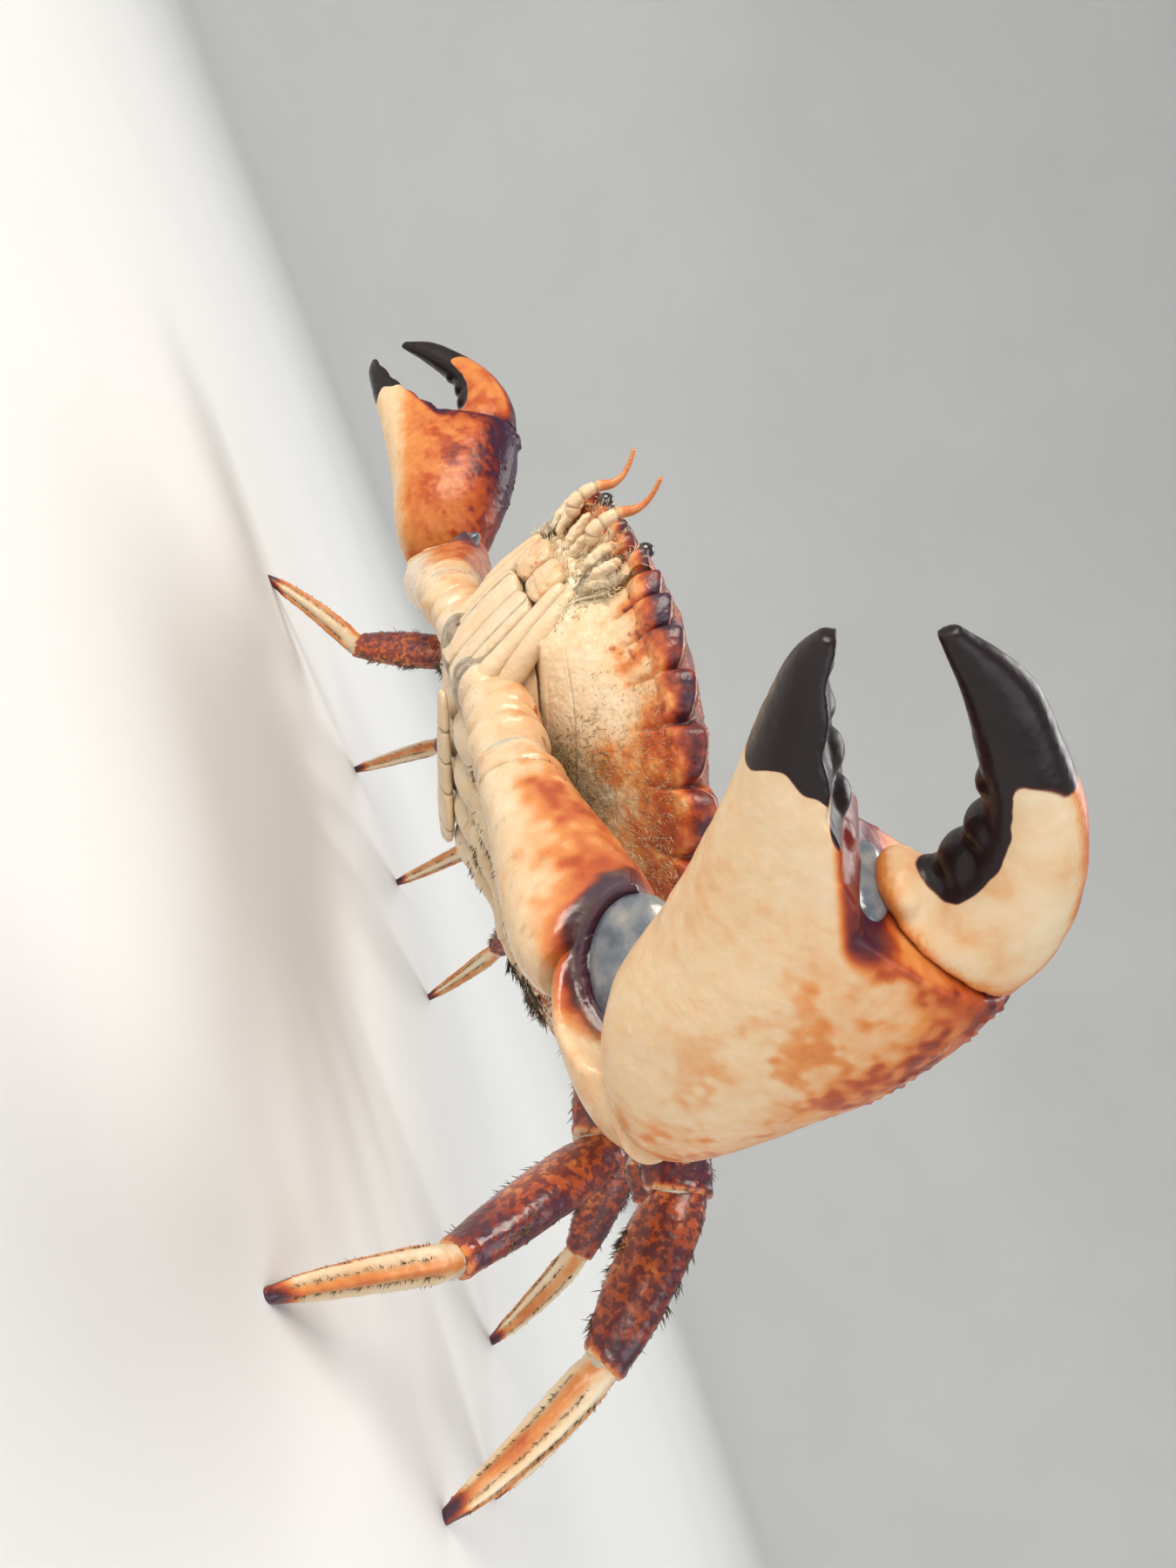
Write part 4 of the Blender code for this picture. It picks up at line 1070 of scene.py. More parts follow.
def joint_planes(points, root_plane, end_plane):
    """A pair of planes for each piece of a chain of joints, halving the bends between them."""
    ways = [unit(b - a) for a, b in zip(points, points[1:])]
    begins, ends = [root_plane], []
    for spot, before, after in zip(points[1:-1], ways, ways[1:]):
        normal = unit(before + after)
        ends.append((spot - normal * GAP / 2, normal))
        begins.append((spot + normal * GAP / 2, normal))
    return list(zip(begins, ends + [end_plane]))


def collars(neck, rim):
    """A shape that narrows to a neck at a piece's root and thickens to a rim at its far end."""
    def shape(share, angle):
        narrow = 1 - neck * (1 - step(share, 0.0, 0.12))
        return narrow * (1 + rim * hump(share, 0.965, 0.025) - 0.06 * step(share, 0.985, 1.0))
    return shape


def sleeve(at, axis, height, width, length, pale):
    """A pleated sleeve of joint skin between two limb pieces."""
    axis = unit(axis)
    side = unit(np.cross(axis, UP))
    top = np.cross(side, axis)
    lat = np.linspace(-pi / 2, pi / 2, 28)[1:-1, None]
    lon = turns(40)[None]
    pleat = 1 + 0.02 * np.cos(lat * 16)
    grid = (at + (np.cos(lat) ** 0.5 * pleat * np.cos(lon) * width / 2)[..., None] * side
            + (np.cos(lat) ** 0.5 * pleat * np.sin(lon) * height / 2)[..., None] * top
            + (np.sin(lat) * length / 2 + 0 * lon)[..., None] * axis)
    points, faces = closed(grid)
    return points, faces, {"pale": np.full(len(points), pale)}


def leg_masks(part, points, share, angle, deep):
    """Colour masks of one leg piece from its shares along and angles round."""
    top = np.sin(angle)
    cloud = noise(points, 5.0, 3)
    if part == "coxa":
        tint, spots = 0.10 + 0.08 * cloud + 0.05 * top, 0.05 + 0.0 * share
    elif part == "merus":
        tint = 0.13 + 0.32 * step(share, 0.55, 1.05) + 0.10 * step(top, 0, 1) + 0.08 * cloud
        spots = 0.20 + 0.75 * step(share, 0.05, 0.85) + 0.15 * top
    elif part == "dactyl":
        tint = 0.24 + 0.18 * np.cos(angle * 3) + 0.65 * step(share, 0.80, 0.97) + 0.1 * cloud
        spots = 0.0 * share
    else:
        tint = 0.60 + 0.16 * cloud + 0.10 * top + 0.12 * hump(share, 0.9, 0.2)
        spots = 0.75 + 0.0 * share
    rim = hump(share, 1.0, 0.03) * (0.35 if part in ("merus", "carpus", "propodus") else 0.0)
    # Painted shade in the grooves of the piece
    return {"tint": tint - rim, "spots": spots * (1 - rim), "grime": dirt_and_shade(deep, 3.0, 0.7)}


def tufts(roots, ways, lengths, widths, spots):
    """Closed three-sided hairs on their roots, with a small patch of the hair map for each."""
    ways = unit(ways)
    side = unit(np.cross(ways, (0.31, 0.52, 0.79)))
    other = np.cross(ways, side)
    turn = turns(3)
    ring = np.cos(turn)[:, None] * side[:, None] + np.sin(turn)[:, None] * other[:, None]
    ring = ring * (widths / 2)[:, None, None]
    reach = (ways * lengths[:, None])[:, None]
    low = roots[:, None] - ways[:, None] * HAIR_SINK + ring
    middle = roots[:, None] + reach * 0.55 + ring * 0.75
    tip = roots[:, None] + reach
    points = np.concatenate((low, middle, tip), axis=1).reshape(-1, 3)
    start = np.arange(len(roots))[:, None, None] * 7
    quads = start + np.array(((0, 1, 4, 3), (1, 2, 5, 4), (2, 0, 3, 5)))
    ends = start + np.array(((3, 4, 6), (4, 5, 6), (5, 3, 6), (0, 2, 1)))
    disc = np.stack((np.cos(turn), np.sin(turn)), -1) * HAIR_PATCH / 2
    patch = np.concatenate((disc, disc * 0.7, np.zeros((1, 2))))
    patches = (spots[:, None] + patch[None]).reshape(-1, 2)
    return points, [quads.reshape(-1, 4), ends.reshape(-1, 3)], patches


def sprout(grid, density, count, lengths, widths, lean, seed):
    """Hairs on a grid of skin, thickest where its density is: points, faces, map and picks.

    The grid's rings run along it and its columns round it. A hair leans by so much along the
    rings, round the columns and out of the skin.
    """
    draw = np.random.default_rng(seed)
    along = np.gradient(grid, axis=0)
    around = (np.roll(grid, -1, 1) - np.roll(grid, 1, 1)) / 2
    out = np.cross(along, around)
    area = np.linalg.norm(out, axis=-1)
    middle = grid.mean(axis=(0, 1))
    out = unit(out + 1e-9) * np.sign(((grid - middle) * out).sum())
    weight = (density * area).ravel()
    picks = draw.choice(weight.size, count, p=weight / weight.sum())
    jitter = draw.uniform(-0.5, 0.5, (2, count, 1))
    flat = [values.reshape(-1, 3)[picks] for values in (grid, along, around, out)]
    roots = flat[0] + flat[1] * jitter[0] + flat[2] * jitter[1]
    ways = unit(flat[1]) * lean[0] + unit(flat[2]) * lean[1] + flat[3] * lean[2]
    ways = ways + draw.normal(0, 0.28, (count, 3))
    long = draw.uniform(*lengths, count)
    wide = draw.uniform(*widths, count)
    rings, columns = density.shape
    spots = np.stack((picks % columns / columns, picks // columns / rings), -1)
    return *tufts(roots, ways, long, wide, spots), picks


def finish_hair(name, look, batches):
    """One piece of hair from several batches of (points, faces, map, shade of each hair)."""
    points, faces = joined([(p, f) for p, f, _, _ in batches])
    patches = np.concatenate([spots for _, _, spots, _ in batches])
    shade = np.concatenate([np.repeat(tone, 7) for _, _, _, tone in batches])
    finish_piece(name, points, faces, look, {"shade": shade}, False, patches)


def build_fuzz(grid, kinds, side, front, olive):
    """Short pale hair under the carapace's lobes, over its rear underside and round the face."""
    kind = kinds[:, None] + 0 * side
    inward = np.clip(kind - 2, 0, 1)
    draw = np.random.default_rng(31)
    densities = {
        "lobes": step(kind, 1.8, 2.05) * (1 - step(inward, 0.35, 0.6)) * step(side, 0.2, 0.5)
        * (1 - step(side, 0.75, 0.85)),
        "rear": step(inward, 0.25, 0.6) * step(side, 0.28, 0.42) * (1 - step(side, 0.8, 0.9))
        * (1 - step(inward, 0.93, 0.98)),
        "face": front * step(inward, 0.02, 0.08) * (1 - step(inward, 0.72, 0.86)),
        "brow": step(kind, 1.3, 1.5) * (1 - step(kind, 2.0, 2.05)) * (side < 0.135),
    }
    batches = []
    for k, (place, density) in enumerate(densities.items()):
        count, lengths, widths, lean, tone = FUZZ[place]
        for flip in (1, -1):
            half = density * (grid[..., 0] * flip > 0)
            turned = (lean[0], -lean[1] * flip, lean[2])
            points, faces, spots, picks = sprout(grid, half, count // 2, lengths, widths, turned,
                                                 50 + 2 * k + flip)
            shade = tone + draw.uniform(-0.2, 0.2, len(picks)) - 0.3 * olive.ravel()[picks]
            batches.append((in_row(points), faces, spots, shade))
    finish_hair("carapace_hair", "gold_hair", batches)


def leg_hair(part, grid, share, angle, seed):
    """Dark clumped hair along the lower edges of one leg piece, and in rows down its tip."""
    count, length, width = LEG_HAIR[part]
    lower = hump(np.sin(angle), -0.97, 0.12) + 0.35 * hump(np.sin(angle), 0.97, 0.08)
    if part == "dactyl":
        lower = np.exp(-((np.cos(angle * 6) + 1) / 0.12) ** 2)
        clump = 1.0
    else:
        clump = step(noise(grid, 3.2, 44), 0.0, 0.45) + 0.02
    density = lower * clump * step(share, 0.08, 0.16) * (1 - step(share, 0.86, 0.94))
    points, faces, spots, _ = sprout(grid, density, count, (length * 0.5, length),
                                     (width * 0.6, width), (0.75, 0.0, 0.6), seed)
    points[:, 2] = np.maximum(points[:, 2], 0.02)
    return points, faces, spots, np.random.default_rng(seed).uniform(0, 1, count)


def build_leg(index, side):
    """One walking leg, with the skins of its joints and its hair."""
    label = f"{SIDES[side]}{index + 1}"
    points = leg_joints(index, side)
    root, normal = limb_root(index + 1, side)
    planes = joint_planes(points, (root + normal * GAP, normal), (np.zeros(3), UP))
    bulk = LEG_BULK[index]
    face = ROOT_Y[index + 2] - ROOT_Y[index + 1]
    sleeves, hairs = [], []
    for k, (part, form) in enumerate(LEG_FORMS):
        stations = np.array(form, float)
        stations[:, 1:] *= bulk
        if part == "coxa":
            stations[:2, 1:3] = ((13.5, face - 0.8), (12.5, face - 1.2))
        neck = 0.10 if part in ("carpus", "propodus", "dactyl") else 0.04
        rim = 0.05 if part in ("merus", "carpus", "propodus") else 0.0
        grid, share, angle = limb(points[k], points[k + 1], planes[k], UP, stations,
                                  collars(neck, rim), LEG_DOMES)
        if part == "dactyl":
            furrow = 0.30 * np.cos(angle * 6) * step(share, 0.05, 0.2) * (1 - step(share, 0.8, 1))
        else:
            furrow = 0.0 * share
        shape = grid.shape[:2]
        shell, faces = closed(grid)
        share_of, angle_of = spread(share, shape), spread(angle, shape)
        rough = 0.10 if part in ("coxa", "merus") else 0.26
        edge = step(np.sin(angle_of), 0.2, 1.0) + step(-np.sin(angle_of), 0.75, 1.0)
        amount = rough * grains(shell, 1.3, 6) * (0.3 + edge) + 0.10 * noise(shell, 2.2, index)
        amount = amount + spread(furrow * np.ones_like(angle), shape)
        if part == "dactyl":
            amount = amount * (1 - step(share_of, 0.93, 1.0))
        shell = raised(shell, faces, amount)
        shell[:, 2] = np.maximum(shell[:, 2], 0.0)
        masks = leg_masks(part, shell, share_of, angle_of, hollows(shell, faces))
        look, slot = ("tip", "leg_tip") if part == "dactyl" else ("leg", "leg_shell")
        finish_piece(f"leg_{label}_{part}", shell, faces, look, masks)
        if k:
            ahead = unit(points[k + 1] - points[k]) + unit(points[k] - points[k - 1])
            sleeves.append(sleeve(points[k], ahead, *stations[0, 1:3] * LEG_SLEEVE_FIT,
                                  LEG_SLEEVE_LENGTH * bulk, 1.0))
        hairs.append(leg_hair(part, shell[:-2].reshape(*shape, 3), share, angle,
                              100 * index + 10 * k + side + 1))
    finish_parts(f"leg_{label}_skin", sleeves, "membrane", False)
    finish_hair(f"leg_{label}_hair", "dark_hair", hairs)


# Claw arms


def claw_frame(label):
    """Wrist, and the claw's directions along, up and across, in the row."""
    arm = ARMS[label]
    reach = unit(TURN @ np.array(arm["reach"]))
    back = TURN @ np.array(arm["back"])
    back = unit(back - reach * (back @ reach))
    return in_row(arm["joints"][-1]), np.array((reach, back, np.cross(reach, back)))


def claw_loft(stations, rings):
    """Grid of a claw piece in the claw's own frame: along, up and across."""
    low_a, low_b, up_a, up_b, width = sampled(stations, rings).T
    low, top = np.stack((low_a, low_b), -1), np.stack((up_a, up_b), -1)
    angle = turns(CLAW_SIDES)
    u, v = rounded(np.cos(angle)), rounded(np.sin(angle))
    middle, half = (low + top) / 2, (top - low) / 2
    flat = middle[:, None] + half[:, None] * v[None, :, None]
    across = width[:, None] / 2 * u[None]
    return np.concatenate((flat, across[..., None]), -1)


def nearest_values(points, known, values):
    """For each point, the values of the nearest known point."""
    tree = KDTree(len(known))
    for k, spot in enumerate(known):
        tree.insert(spot, k)
    tree.balance()
    return values[[tree.find(spot)[1] for spot in points]]


def finger_line(share, lift=0.0):
    """A place on the fixed finger's biting edge, from the gape's corner to the tip."""
    drop = radians(FINGER_DROP)
    along = FINGER_LENGTH * share
    lift -= FINGER_SAG * sin(pi * share)
    return (GAPE_CORNER[0] + cos(drop) * along + sin(drop) * lift,
            GAPE_CORNER[1] - sin(drop) * along + cos(drop) * lift)


def molars(spots):
    """Blunt teeth of a finger: (along, up, half length, half height, half width) of each."""
    axes = np.eye(3)
    return [ellipsoid((a, b, 0.0), axes, (long, high, wide), 14, 18)
            for a, b, long, high, wide in spots]


def palm_shell(label):
    """Palm with its fixed finger, in the claw's own frame."""
    place, axes = claw_frame(label)
    grid = claw_loft(PALM_STATIONS, PALM_RINGS)
    before = in_row(ARMS[label]["joints"][-2])
    normal = axes @ unit(unit(place - before) + axes[0])
    shifts = (GAP / 2 - grid[0] @ normal) / normal[0]
    keep = 1 - step(grid[..., 0].mean(1), 0.0, WRIST_FADE)
    grid[..., 0] += keep[:, None] * shifts[None]
    edge = [HINGE_TOP, GAPE_CORNER]
    for share in np.linspace(0, 1, 40)[1:]:
        bite = 1.2 * abs(sin(5 * pi * share)) * (1 - 0.6 * share)
        edge.append(finger_line(share, bite))
    edge += [(120.0, -40.0), (120.0, 40.0)]
    sheets = np.array([[(a, b, c) for a, b in edge] for c in (-20.0, 20.0)])
    teeth = []
    for share, size in PALM_TEETH:
        a, b = finger_line(share, -0.7)
        teeth.append((a, b, size * 1.15, size * 0.95, size * 1.3))
    teeth = molars([*teeth, *HINGE_KNOBS])
    return fused([closed(grid)], PALM_VOXEL, 4, [closed(sheets)], teeth)


def dactyl_shell():
    """The moving finger in the claw's own frame, with each point's share along and height."""
    grid = claw_loft(DACTYL_STATIONS, DACTYL_RINGS)
    teeth = []
    for share, size in DACTYL_TEETH:
        low_a, low_b, up_a, up_b, _ = curve(DACTYL_STATIONS, share)
        inward = unit((low_a - up_a, low_b - up_b)) * -1.3
        teeth.append((low_a + inward[0], low_b + inward[1], size * 1.2, size, size * 1.3))
    points, faces = fused([closed(grid)], DACTYL_VOXEL, 3, (), molars([*teeth, CONDYLE]))
    shape = grid.shape[:2]
    share = np.broadcast_to(np.linspace(0, 1, DACTYL_RINGS)[:, None], shape).ravel()
    angle = turns(CLAW_SIDES)
    v = np.broadcast_to(np.sin(angle), shape).ravel()
    found = nearest_values(points, grid.reshape(-1, 3), np.stack((share, v), -1))
    return points, faces, found


def build_claw(label):
    """Palm and moving finger of one claw; gives back the skin of its gape."""
    place, axes = claw_frame(label)
    warm = 0.0 if label == "L" else 1.0
    points, faces = palm_shell(label)
    a, b, _ = points.T
    dorsal = step(b, 12.0, 21.0)
    bumpy = 0.12 * noise(points, 4.0, 2) + 0.45 * grains(points, 2.3, 3) * dorsal
    bumpy = bumpy + 0.25 * noise(points, 9.0, 4) + 0.05 * noise(points, 1.2, 9)
    points = raised(points, faces, bumpy)
    cloud = noise(points, 8.0, 5) * 0.32 + noise(points, 3.0, 6) * 0.40 + noise(points, 1.4, 7) * 0.36
    body = step(b, -14, 6) * (1 - step(a, 48, 60))
    tint = 0.18 + 0.05 * cloud + warm * 0.26 * step(b, -17, -10) + 0.36 * warm * dorsal
    tint = tint + body * (0.05 + 0.17 * step(cloud, -0.10, 0.35)) + 0.09 * step(b, 0, 14)
    edge = step(b, 5, 15) * step(a, 10, 26)
    tint = tint + 0.12 * edge * (1 + cloud) + 0.15 * step(b, 15, 23) + 0.10 * (1 - step(a, -4, 8))
    seam = hump(a - 52.0 + 0.12 * (b + 2.5), 0, 2.8) * step(b, -3, 9)
    tint = tint + (0.20 + 0.06 * step(b, 12, 22)) * seam * (1 + 0.5 * cloud)
    drop = radians(FINGER_DROP)
    off = (b - GAPE_CORNER[1]) * cos(drop) + (a - GAPE_CORNER[0]) * sin(drop)
    inner = step(off, -2.6, -0.6) * step(a, 47, 51) * (1 - step(a, 60, 63))
    tint = tint + 0.62 * inner * (1 - step(b, -1.0, 5.0))
    line = 63.5 - 0.50 * np.clip(b + 16, 0, 12) - 3.0 * step(-b, 20, 24) + 1.2 * noise(points, 3.5, 8)
    bite = step(off, -3.0, -1.4) * step(a, 58.5, 61.5)
    ink = np.maximum(step(a, line - 1.0, line + 1.2), bite * 0.95)
    # Painted shade in the palm's grooves, kept off the black fingers
    grime = dirt_and_shade(hollows(points, faces, 8), 2.2, 0.6, 0.06) * (1 - ink)
    masks = {"tint": tint, "ink": ink, "grime": grime, "spots": 0.25 * dorsal}
    finish_piece(f"arm_{label}_palm", place + points @ axes, faces, "claw", masks)
    points, faces, found = dactyl_shell()
    share, v = found.T
    points = raised(points, faces, 0.10 * noise(points, 3.0, 12))
    cloud = noise(points, 4.0, 4)
    line = 0.22 + 0.50 * step(v, -0.88, -0.30) + 0.03 * noise(points, 3.5, 14)
    outer = step(v, 0.55, 0.98)
    masks = {"tint": 0.17 + 0.30 * warm + (0.36 + 0.1 * warm) * outer + 0.07 * cloud
             + 0.28 * hump(share, 0.0, 0.05) + 0.10 * hump(share, 0.3, 0.15) * step(cloud, 0, 0.6),
             "ink": softened(step(share, line - 0.04, line + 0.05), faces, 6),
             # Painted shade in the finger's grooves
             "grime": dirt_and_shade(hollows(points, faces, 8), 2.0, 0.5, 0.12), "spots": 0.0 * v}
    finish_piece(f"arm_{label}_dactyl", place + points @ axes, faces, "claw",
                 masks)
    points, faces = ellipsoid(GAPE_SKIN[0], np.eye(3), GAPE_SKIN[1])
    return place + points @ axes, faces, {"pale": np.zeros(len(points))}


def build_arm(side):
    """One claw arm: claw, coxa, merus and carpus, with the skins of its joints."""
    label = SIDES[side]
    place, axes = claw_frame(label)
    root, normal = limb_root(0, side)
    points = [root] + [in_row(p) for p in ARMS[label]["joints"]]
    planes = joint_planes(points + [place + axes[0]], (root + normal * GAP, normal), None)
    skin_at = in_row(np.array(ARMS[label]["joints"][1]) + np.array(ELBOW_SKIN_SHIFT) * (side, 1, 1))
    skin_axes = unit(np.array(ELBOW_SKIN_AXES) * (side, 1, 1)) @ TURN.T
    sleeves = [build_claw(label)]
    wider = np.array((ELBOW_SKIN_OVERLAP, ELBOW_SKIN_OVERLAP, 1.0))
    skin_points, skin_faces = ellipsoid(skin_at - skin_axes[2] * ELBOW_SKIN_SINK, skin_axes,
                                        ELBOW_SKIN_SIZE * wider, 40, 56)
    sleeves.append((skin_points, skin_faces, {"pale": np.zeros(len(skin_points))}))
    for k, (part, form) in enumerate(ARM_FORMS):
        length = np.linalg.norm(points[k + 1] - points[k])

        def shape(share, angle, part=part, length=length):
            rest = share * length
            grow = 1 - 0.05 * (1 - step(share, 0.0, 0.08)) + 0.03 * hump(share, 0.97, 0.02)
            if part == "coxa":
                slant = 1.2 * np.sin(angle + 0.8)
                grow = grow - 0.16 * hump(rest, 8.6 + slant, 0.9) - 0.10 * hump(rest, 13.8, 0.8)
                grow = grow + 0.06 * hump(rest, 4.5, 3.0) + 0.05 * hump(rest, 11.4, 1.8)
                grow = grow - 0.12 * step(rest, 19.0, 21.0)
            if part == "merus":
                slant = 2.2 * np.sin(angle - 0.5)
                grow = grow - 0.10 * hump(rest, 8.5 + slant, 0.7) - 0.07 * step(-rest, -7.5, -5.5)
                grow = grow + 0.03 * hump(rest, 6.4 + slant, 1.4)
            return grow

        grid, share, angle = limb(points[k], points[k + 1], planes[k], UP, form, shape,
                                  ARM_DOMES, 130, 80)
        shape_of = grid.shape[:2]
        shell, faces = closed(grid)
        share, angle = spread(share, shape_of), spread(angle, shape_of)
        top = np.sin(angle)
        normals = normals_of(shell, faces)
        amount = 0.12 * noise(shell, 3.0, 4) + 0.10 * grains(shell, 1.6, 5) * step(top, -0.2, 0.8)
        flat = (shell - skin_at) @ skin_axes.T
        near = np.hypot(flat[:, 0] / ELBOW_SKIN_SIZE[0], flat[:, 1] / ELBOW_SKIN_SIZE[1])
        faced = step(normals @ skin_axes[2], -0.1, 0.25) * (0.0 if part == "coxa" else 1.0)
        dish = ELBOW_RIM * hump(near, 1.16, 0.10) - ELBOW_DISH * (1 - step(near, 0.96, 1.07))
        most = 0.0 if part == "carpus" else ELBOW_PULL_OUT
        pull = np.clip(dish - flat[:, 2], -ELBOW_PULL_IN, most)
        pull = pull * faced * (1 - step(near, 1.15, 1.8))
        shell = shell + normals * amount[:, None] + pull[:, None] * skin_axes[2]
        cloud, small = noise(shell, 7.0, 6), noise(shell, 2.2, 15)
        tint = 0.16 + 0.07 * cloud + 0.07 * small
        if part == "coxa":
            tint = tint + 0.14 * step(top, -0.4, 0.8)
        elif part == "merus":
            tint = tint + (0.34 + 0.1 * small) * step(top + 0.5 * cloud, -0.55, 0.5) * step(
                share, 0.02, 0.35)
        else:
            tint = tint + 0.04 + 0.32 * step(top + 0.4 * cloud, 0.0, 0.9)
        wide = blend(0.22, 1.0, step(flat[:, 1] / (np.abs(flat[:, 0]) + np.abs(flat[:, 1]) + 0.1),
                                     -0.9, 0.1))
        ring = (near - 1) / wide + 0.22 * cloud + 0.10 * small
        tint = blend(tint, 0.52, faced * (1 - step(ring, 0.7, 1.3)))
        tint = blend(tint, 0.97, faced * (1 - step(ring, 0.48, 0.80)))
        speck = step(noise(shell, 1.3, 17), 0.55, 0.75) * (1 - step(top, -0.2, 0.4))
        # Painted shade in grooves, with real dark specks on the lower side
        grime = dirt_and_shade(hollows(shell, faces, 8), 2.2, 0.85, 0.04) + 0.25 * speck
        masks = {"tint": tint, "grime": grime, "spots": 0.2 * step(top, 0.5, 0.9)}
        finish_piece(f"arm_{label}_{part}", shell, faces, "arm", masks)
        ahead = unit(points[k + 1] - points[k])
        ahead = ahead + (axes[0] if k == 2 else unit(points[k + 2] - points[k + 1]))
        fit = ELBOW_SLEEVE_FIT if part == "merus" else ARM_SLEEVE_FIT
        sleeves.append(sleeve(points[k + 1], ahead, form[-1][1] * fit, form[-1][2] * fit,
                              ARM_SLEEVE_LENGTH, 0.9 if part == "coxa" else 0.2))
    finish_parts(f"arm_{label}_skin", sleeves, "membrane", False)


# Eyes


def build_eye(side):
    """One eye, with the stalk that holds it in its socket."""
    label = SIDES[side]
    root, tip = in_row(np.array((EYE_ROOT, EYE_TIP)) * (side, 1, 1))
    axis = unit(tip - root)
    across = unit(np.cross(axis, UP))
    axes = np.array((across, np.cross(across, axis), axis))
    points, faces = ellipsoid(root + axis * EYE_OUT, axes, EYE_SIZE, 30, 40)
    finish_piece(f"eye_{label}", points, faces, "eye", {})
    points, faces = ellipsoid(root + axis * EYESTALK_OUT, axes, EYESTALK_SIZE)
    masks = {"tint": 0.25 + 0.1 * noise(points, 1.5), "grime": 0 * points[:, 0]}
    finish_piece(f"eyestalk_{label}", points, faces, "mouth", masks, False)


# Mouth, abdomen and feelers


def strip(path, widths, depths, up, rings=70, sides=32, power=2.2, blunt=1.0):
    """A closed strip along a path, rounded at both ends, with its shares along and angles."""
    knots = np.column_stack((np.linspace(0, 1, len(path)), np.asarray(path, float), widths, depths))
    share = 0.5 - 0.5 * np.cos(np.linspace(0.03, 0.97, rings) * pi)
    rows = np.array([curve(knots, t) for t in share])
    spots = rows[:, :3]
    ahead = unit(np.gradient(spots, axis=0))
    side = unit(np.cross(ahead, up))
    top = np.cross(side, ahead)
    length = np.linalg.norm(np.diff(spots, axis=0), axis=1).sum()
    from_end = np.minimum(share, 1 - share) * length
    radius = rows[:, 3] / 2
    taper = np.sqrt(1 - (1 - np.clip(from_end / (radius * blunt), 0, 1)) ** 2)
    angle = turns(sides)
    across = rounded(np.cos(angle), power) * (radius * taper)[:, None]
    rise = rounded(np.sin(angle), power) * (rows[:, 4] / 2 * taper ** 0.6)[:, None]
    grid = spots[:, None] + across[..., None] * side[:, None] + rise[..., None] * top[:, None]
    points, faces = closed(grid)
    return points, faces, spread(share[:, None], grid.shape[:2]), spread(angle, grid.shape[:2])


def mouth_spot(x, z, out=0.0):
    """A place on the sloping field of the mouth, some way out of it, in the body frame."""
    slope = unit((0, MOUTH_FRONT_Y - MOUTH_REAR_Y, STERNUM_DEPTH - MOUTH_TOP))
    return np.array((x, mouth_y(z), z)) + np.array((0, -slope[2], slope[1])) * out


MOUTH_OUT = mouth_spot(0, 0, 1.0) - mouth_spot(0, 0)


def build_mouth(side):
    """One outer mouth leg: a long plate, a rough shorter one beyond it, and strips beside."""
    parts = []
    for path, widths, depths, tone, rough in MOUTH_PLATES:
        spots = [mouth_spot(side * x, z, out) for x, z, out in path]
        wide = widths[1] > 9
        points, faces, share, angle = strip(spots, widths, depths, MOUTH_OUT, 90, 40,
                                            3.4 if wide else 2.2, 0.35 if wide else 1.0)
        u, top = np.cos(angle), step(np.sin(angle), 0.0, 0.5)
        border = hump(np.abs(u), 0.86, 0.10) * top if wide else 0.0 * u
        crease = hump(u * side, 0.30, 0.12) * top * step(share, 0.1, 0.3) if wide else 0.0 * u
        amount = 0.08 * noise(points, 2.0, 3) - 0.35 * crease * (1 - rough)
        amount = amount + rough * top * (0.18 * noise(points, 1.8, 5) + 0.12 * noise(points, 0.7, 6))
        points = raised(points, faces, amount)
        dots = step(noise(points, 0.8, 9), 0.30, 0.5) * (border + 0.5 * rough)
        masks = {"tint": tone + 0.05 * noise(points, 4.0, 2) + 0.08 * rough * noise(points, 1.2, 8),
                 # Painted shade in grooves, with real dark dots
                 "grime": dirt_and_shade(hollows(points, faces, 8), 4, 0.85, -0.6 * dots)}
        parts.append((in_row(points), faces, masks))
    finish_parts(f"maxilliped_{SIDES[side]}", parts, "mouth")


def build_face(side):
    """Stout cream ridges between the mouth and the front edge, beside a feeler's stalk."""
    parts = []
    for path, widths in FACE_RIDGES:
        spots = [mouth_spot(side * x, z, out) for x, z, out in path]
        points, faces, share, _ = strip(spots, widths, widths, MOUTH_OUT, 60, 24)
        amount = 0.34 * noise(points, 1.3, 5) + 0.2 * noise(points, 0.6, 7)
        points = raised(points, faces, amount)
        masks = {"tint": 0.10 + 0.08 * noise(points, 2.5, 6) + 0.16 * step(share, 0.75, 1.0),
                 # Painted shade in the ridges' grooves
                 "grime": dirt_and_shade(hollows(points, faces, 8), 3, 0.6)}
        parts.append((in_row(points), faces, masks))
    finish_parts(f"face_{SIDES[side]}", parts, "mouth", False)


def build_abdomen():
    """The narrow folded abdomen of a male, with its crosswise joints."""
    depth = -STERNUM_DEPTH - GAP - 1.3
    path = [(0, y, depth) for y in ABDOMEN_Y]
    points, faces, share, angle = strip(path, ABDOMEN_WIDTHS, ABDOMEN_DEPTHS, -UP, 140, 40, 2.8)
    joints = sum(hump(share, spot, 0.008) for spot in ABDOMEN_JOINTS)
    ridge = hump(np.cos(angle), 0, 0.25) * step(np.sin(angle), 0.3, 0.8)
    amount = -0.5 * joints + 0.35 * ridge + 0.08 * noise(points, 2.5, 4)
    points = raised(points, faces, amount)
    masks = {"tint": 0.10 + 0.08 * noise(points, 5.0, 3),
             # Painted shade in grooves, with the real dark joints
             "grime": dirt_and_shade(hollows(points, faces, 8), 3, 0.8, -0.5 * joints)}
    finish_piece("abdomen", in_row(points), faces, "sternum", masks)


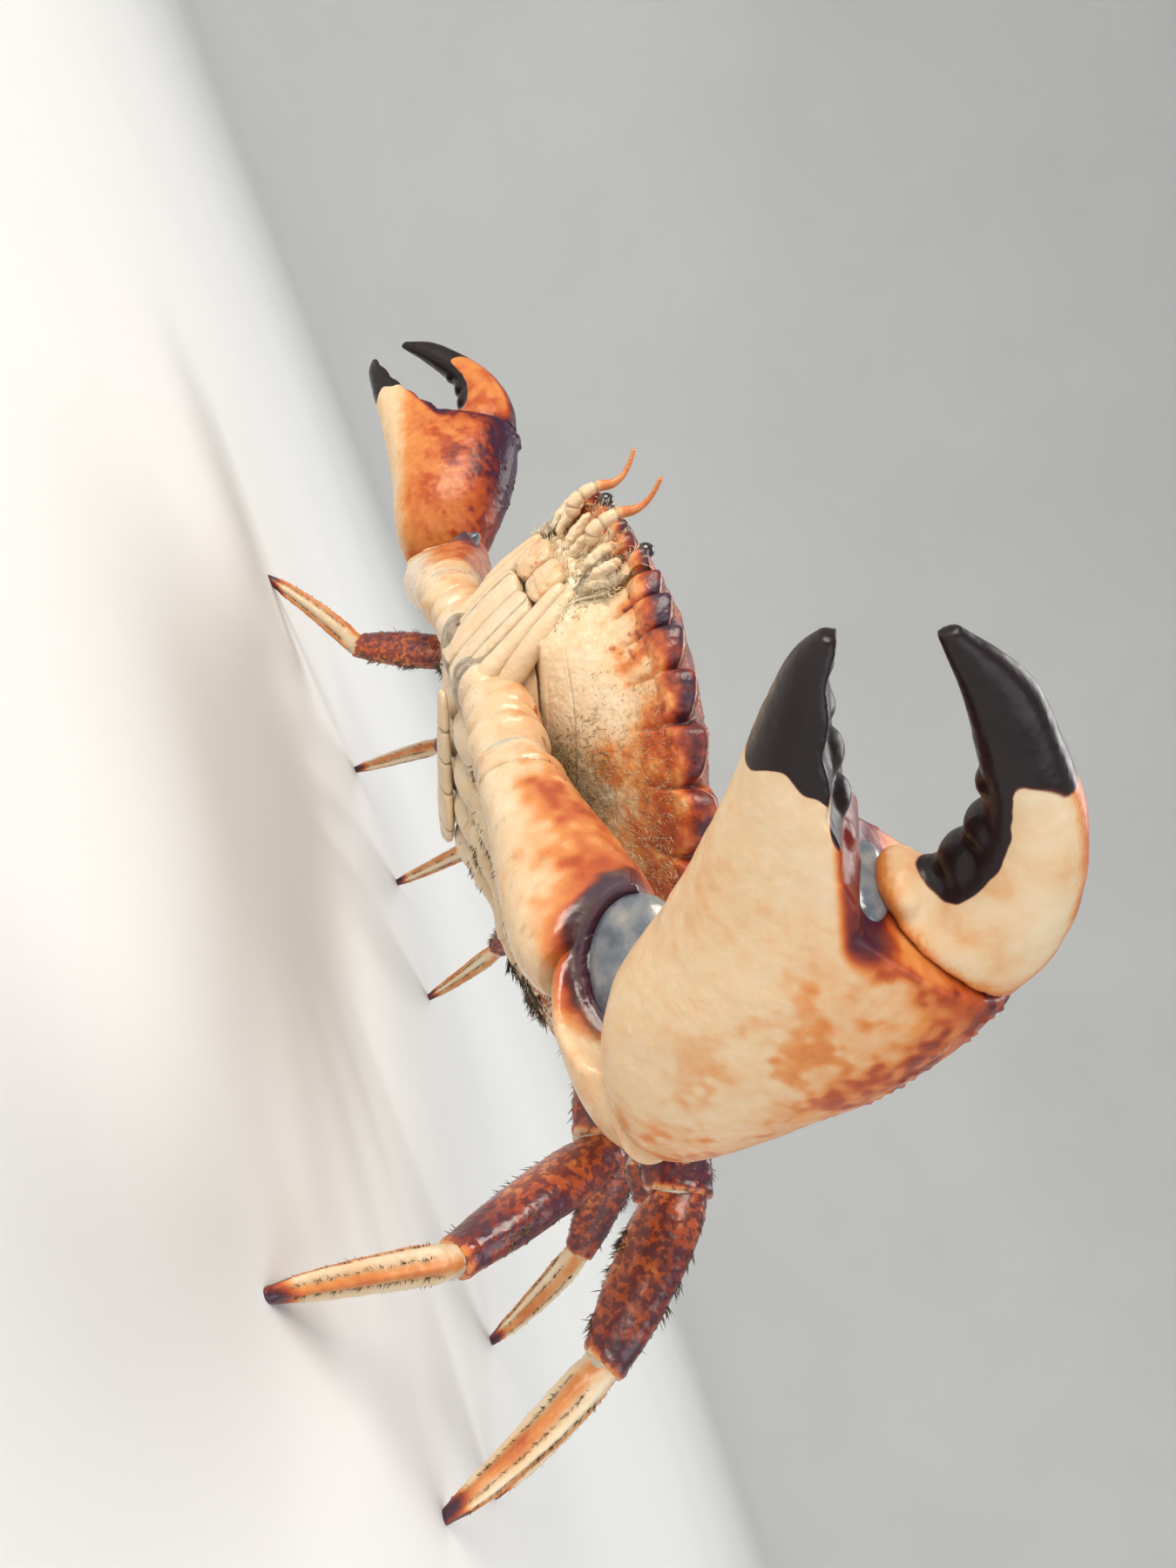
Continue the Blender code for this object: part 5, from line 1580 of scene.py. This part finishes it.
def build_antenna(side):
    """A feeler: a jointed stalk and a thin ringed whip."""
    path = [(side * (FEELER_ROOT[0] + x), FEELER_ROOT[1] + y, FEELER_ROOT[2] + z)
            for x, y, z in FEELER_PATH]
    points, faces, share, _ = strip(path, FEELER_WIDTHS, FEELER_WIDTHS, UP, 150, 20, 2.0)
    joints = sum(hump(share, spot, 0.012) for spot in FEELER_JOINTS)
    rings = np.cos(share * 2 * pi * FEELER_RINGS) * step(share, 0.45, 0.5)
    amount = -0.35 * joints + 0.05 * rings
    points = raised(points, faces, amount)
    masks = {"tint": 0.16 + 0.26 * step(share, 0.38, 0.5) + 0.04 * rings, "grime": 0.4 * joints}
    finish_piece(f"antenna_{SIDES[side]}", in_row(points), faces, "mouth", masks)


# Stage


def build_stage():
    """A pale floor that curves up into a round wall, a soft sky and lights."""
    profile = [(r, 0.0) for r in np.linspace(0.02, FLOOR_RADIUS, 12)]
    profile += [(FLOOR_RADIUS + WALL_CURVE * sin(t), WALL_CURVE * (1 - cos(t)))
                for t in np.linspace(0.1, pi / 2, 16)]
    profile += [(FLOOR_RADIUS + WALL_CURVE, WALL_TOP)]
    sides = 96
    turn = turns(sides)
    grid = np.array([[(r * cos(a), r * sin(a), z) for a in turn] for r, z in profile])
    points = np.concatenate((grid.reshape(-1, 3), [(0, 0, 0)]))
    quads, fans = grid_faces(len(profile), sides)
    fans = fans[:sides]
    floor = bare_object("floor", points / MM, [quads[:, ::-1], fans[:, ::-1]])
    floor.data.shade_smooth()
    look, tree, place, shader = new_look("floor_paint")
    tone = between(tree, noise_node(tree, place, 4.0), 0.3, 0.7, 0.0, 1.0)
    paint = mixed(tree, tone, (0.80, 0.80, 0.79, 1), (0.84, 0.84, 0.83, 1))
    fill(tree, shader, Base_Color=paint, Roughness=0.9)
    floor.data.materials.append(look)
    world = bpy.data.worlds.new("studio")
    bpy.context.scene.world = world
    world.use_nodes = True
    fill(world.node_tree, world.node_tree.nodes["Background"], Color=SKY, Strength=SKY_STRENGTH)
    for name, spot, size, power, colour in LIGHTS:
        data = bpy.data.lights.new(name, "AREA")
        data.shape, data.size, data.energy, data.color = "SQUARE", size, power, colour
        lamp = bpy.data.objects.new(name, data)
        lamp.location = spot
        aim = Vector(LIGHTS_AIM) - Vector(spot)
        lamp.rotation_euler = aim.to_track_quat("-Z", "Y").to_euler()
        lamp.visible_camera = False
        bpy.context.scene.collection.objects.link(lamp)


def build_camera():
    """Camera of the photograph, placed in the body frame and rolled as the crab was held."""
    place = in_row(CAMERA_PLACE) * MM
    right = unit(TURN @ np.array(CAMERA_RIGHT))
    up = TURN @ np.array(CAMERA_UP)
    up = unit(up - right * (up @ right))
    data = bpy.data.cameras.new("camera")
    data.sensor_fit, data.sensor_height, data.lens = "VERTICAL", CAMERA_SENSOR, CAMERA_LENS
    data.clip_start, data.clip_end = 0.01, 20.0
    camera = bpy.data.objects.new("camera", data)
    camera.matrix_world = Matrix(np.column_stack((right, up, np.cross(right, up)))
                                 .tolist()).to_4x4()
    camera.location = place
    bpy.context.scene.collection.objects.link(camera)
    bpy.context.scene.camera = camera


build_camera()
build_stage()
build_carapace()
build_thorax()
for index in range(4):
    build_leg(index, 1)
    build_leg(index, -1)
build_arm(1)
build_arm(-1)
build_abdomen()
for side in (1, -1):
    build_mouth(side)
    build_face(side)
    build_eye(side)
    build_antenna(side)
bpy.context.scene.view_settings.view_transform = "Standard"
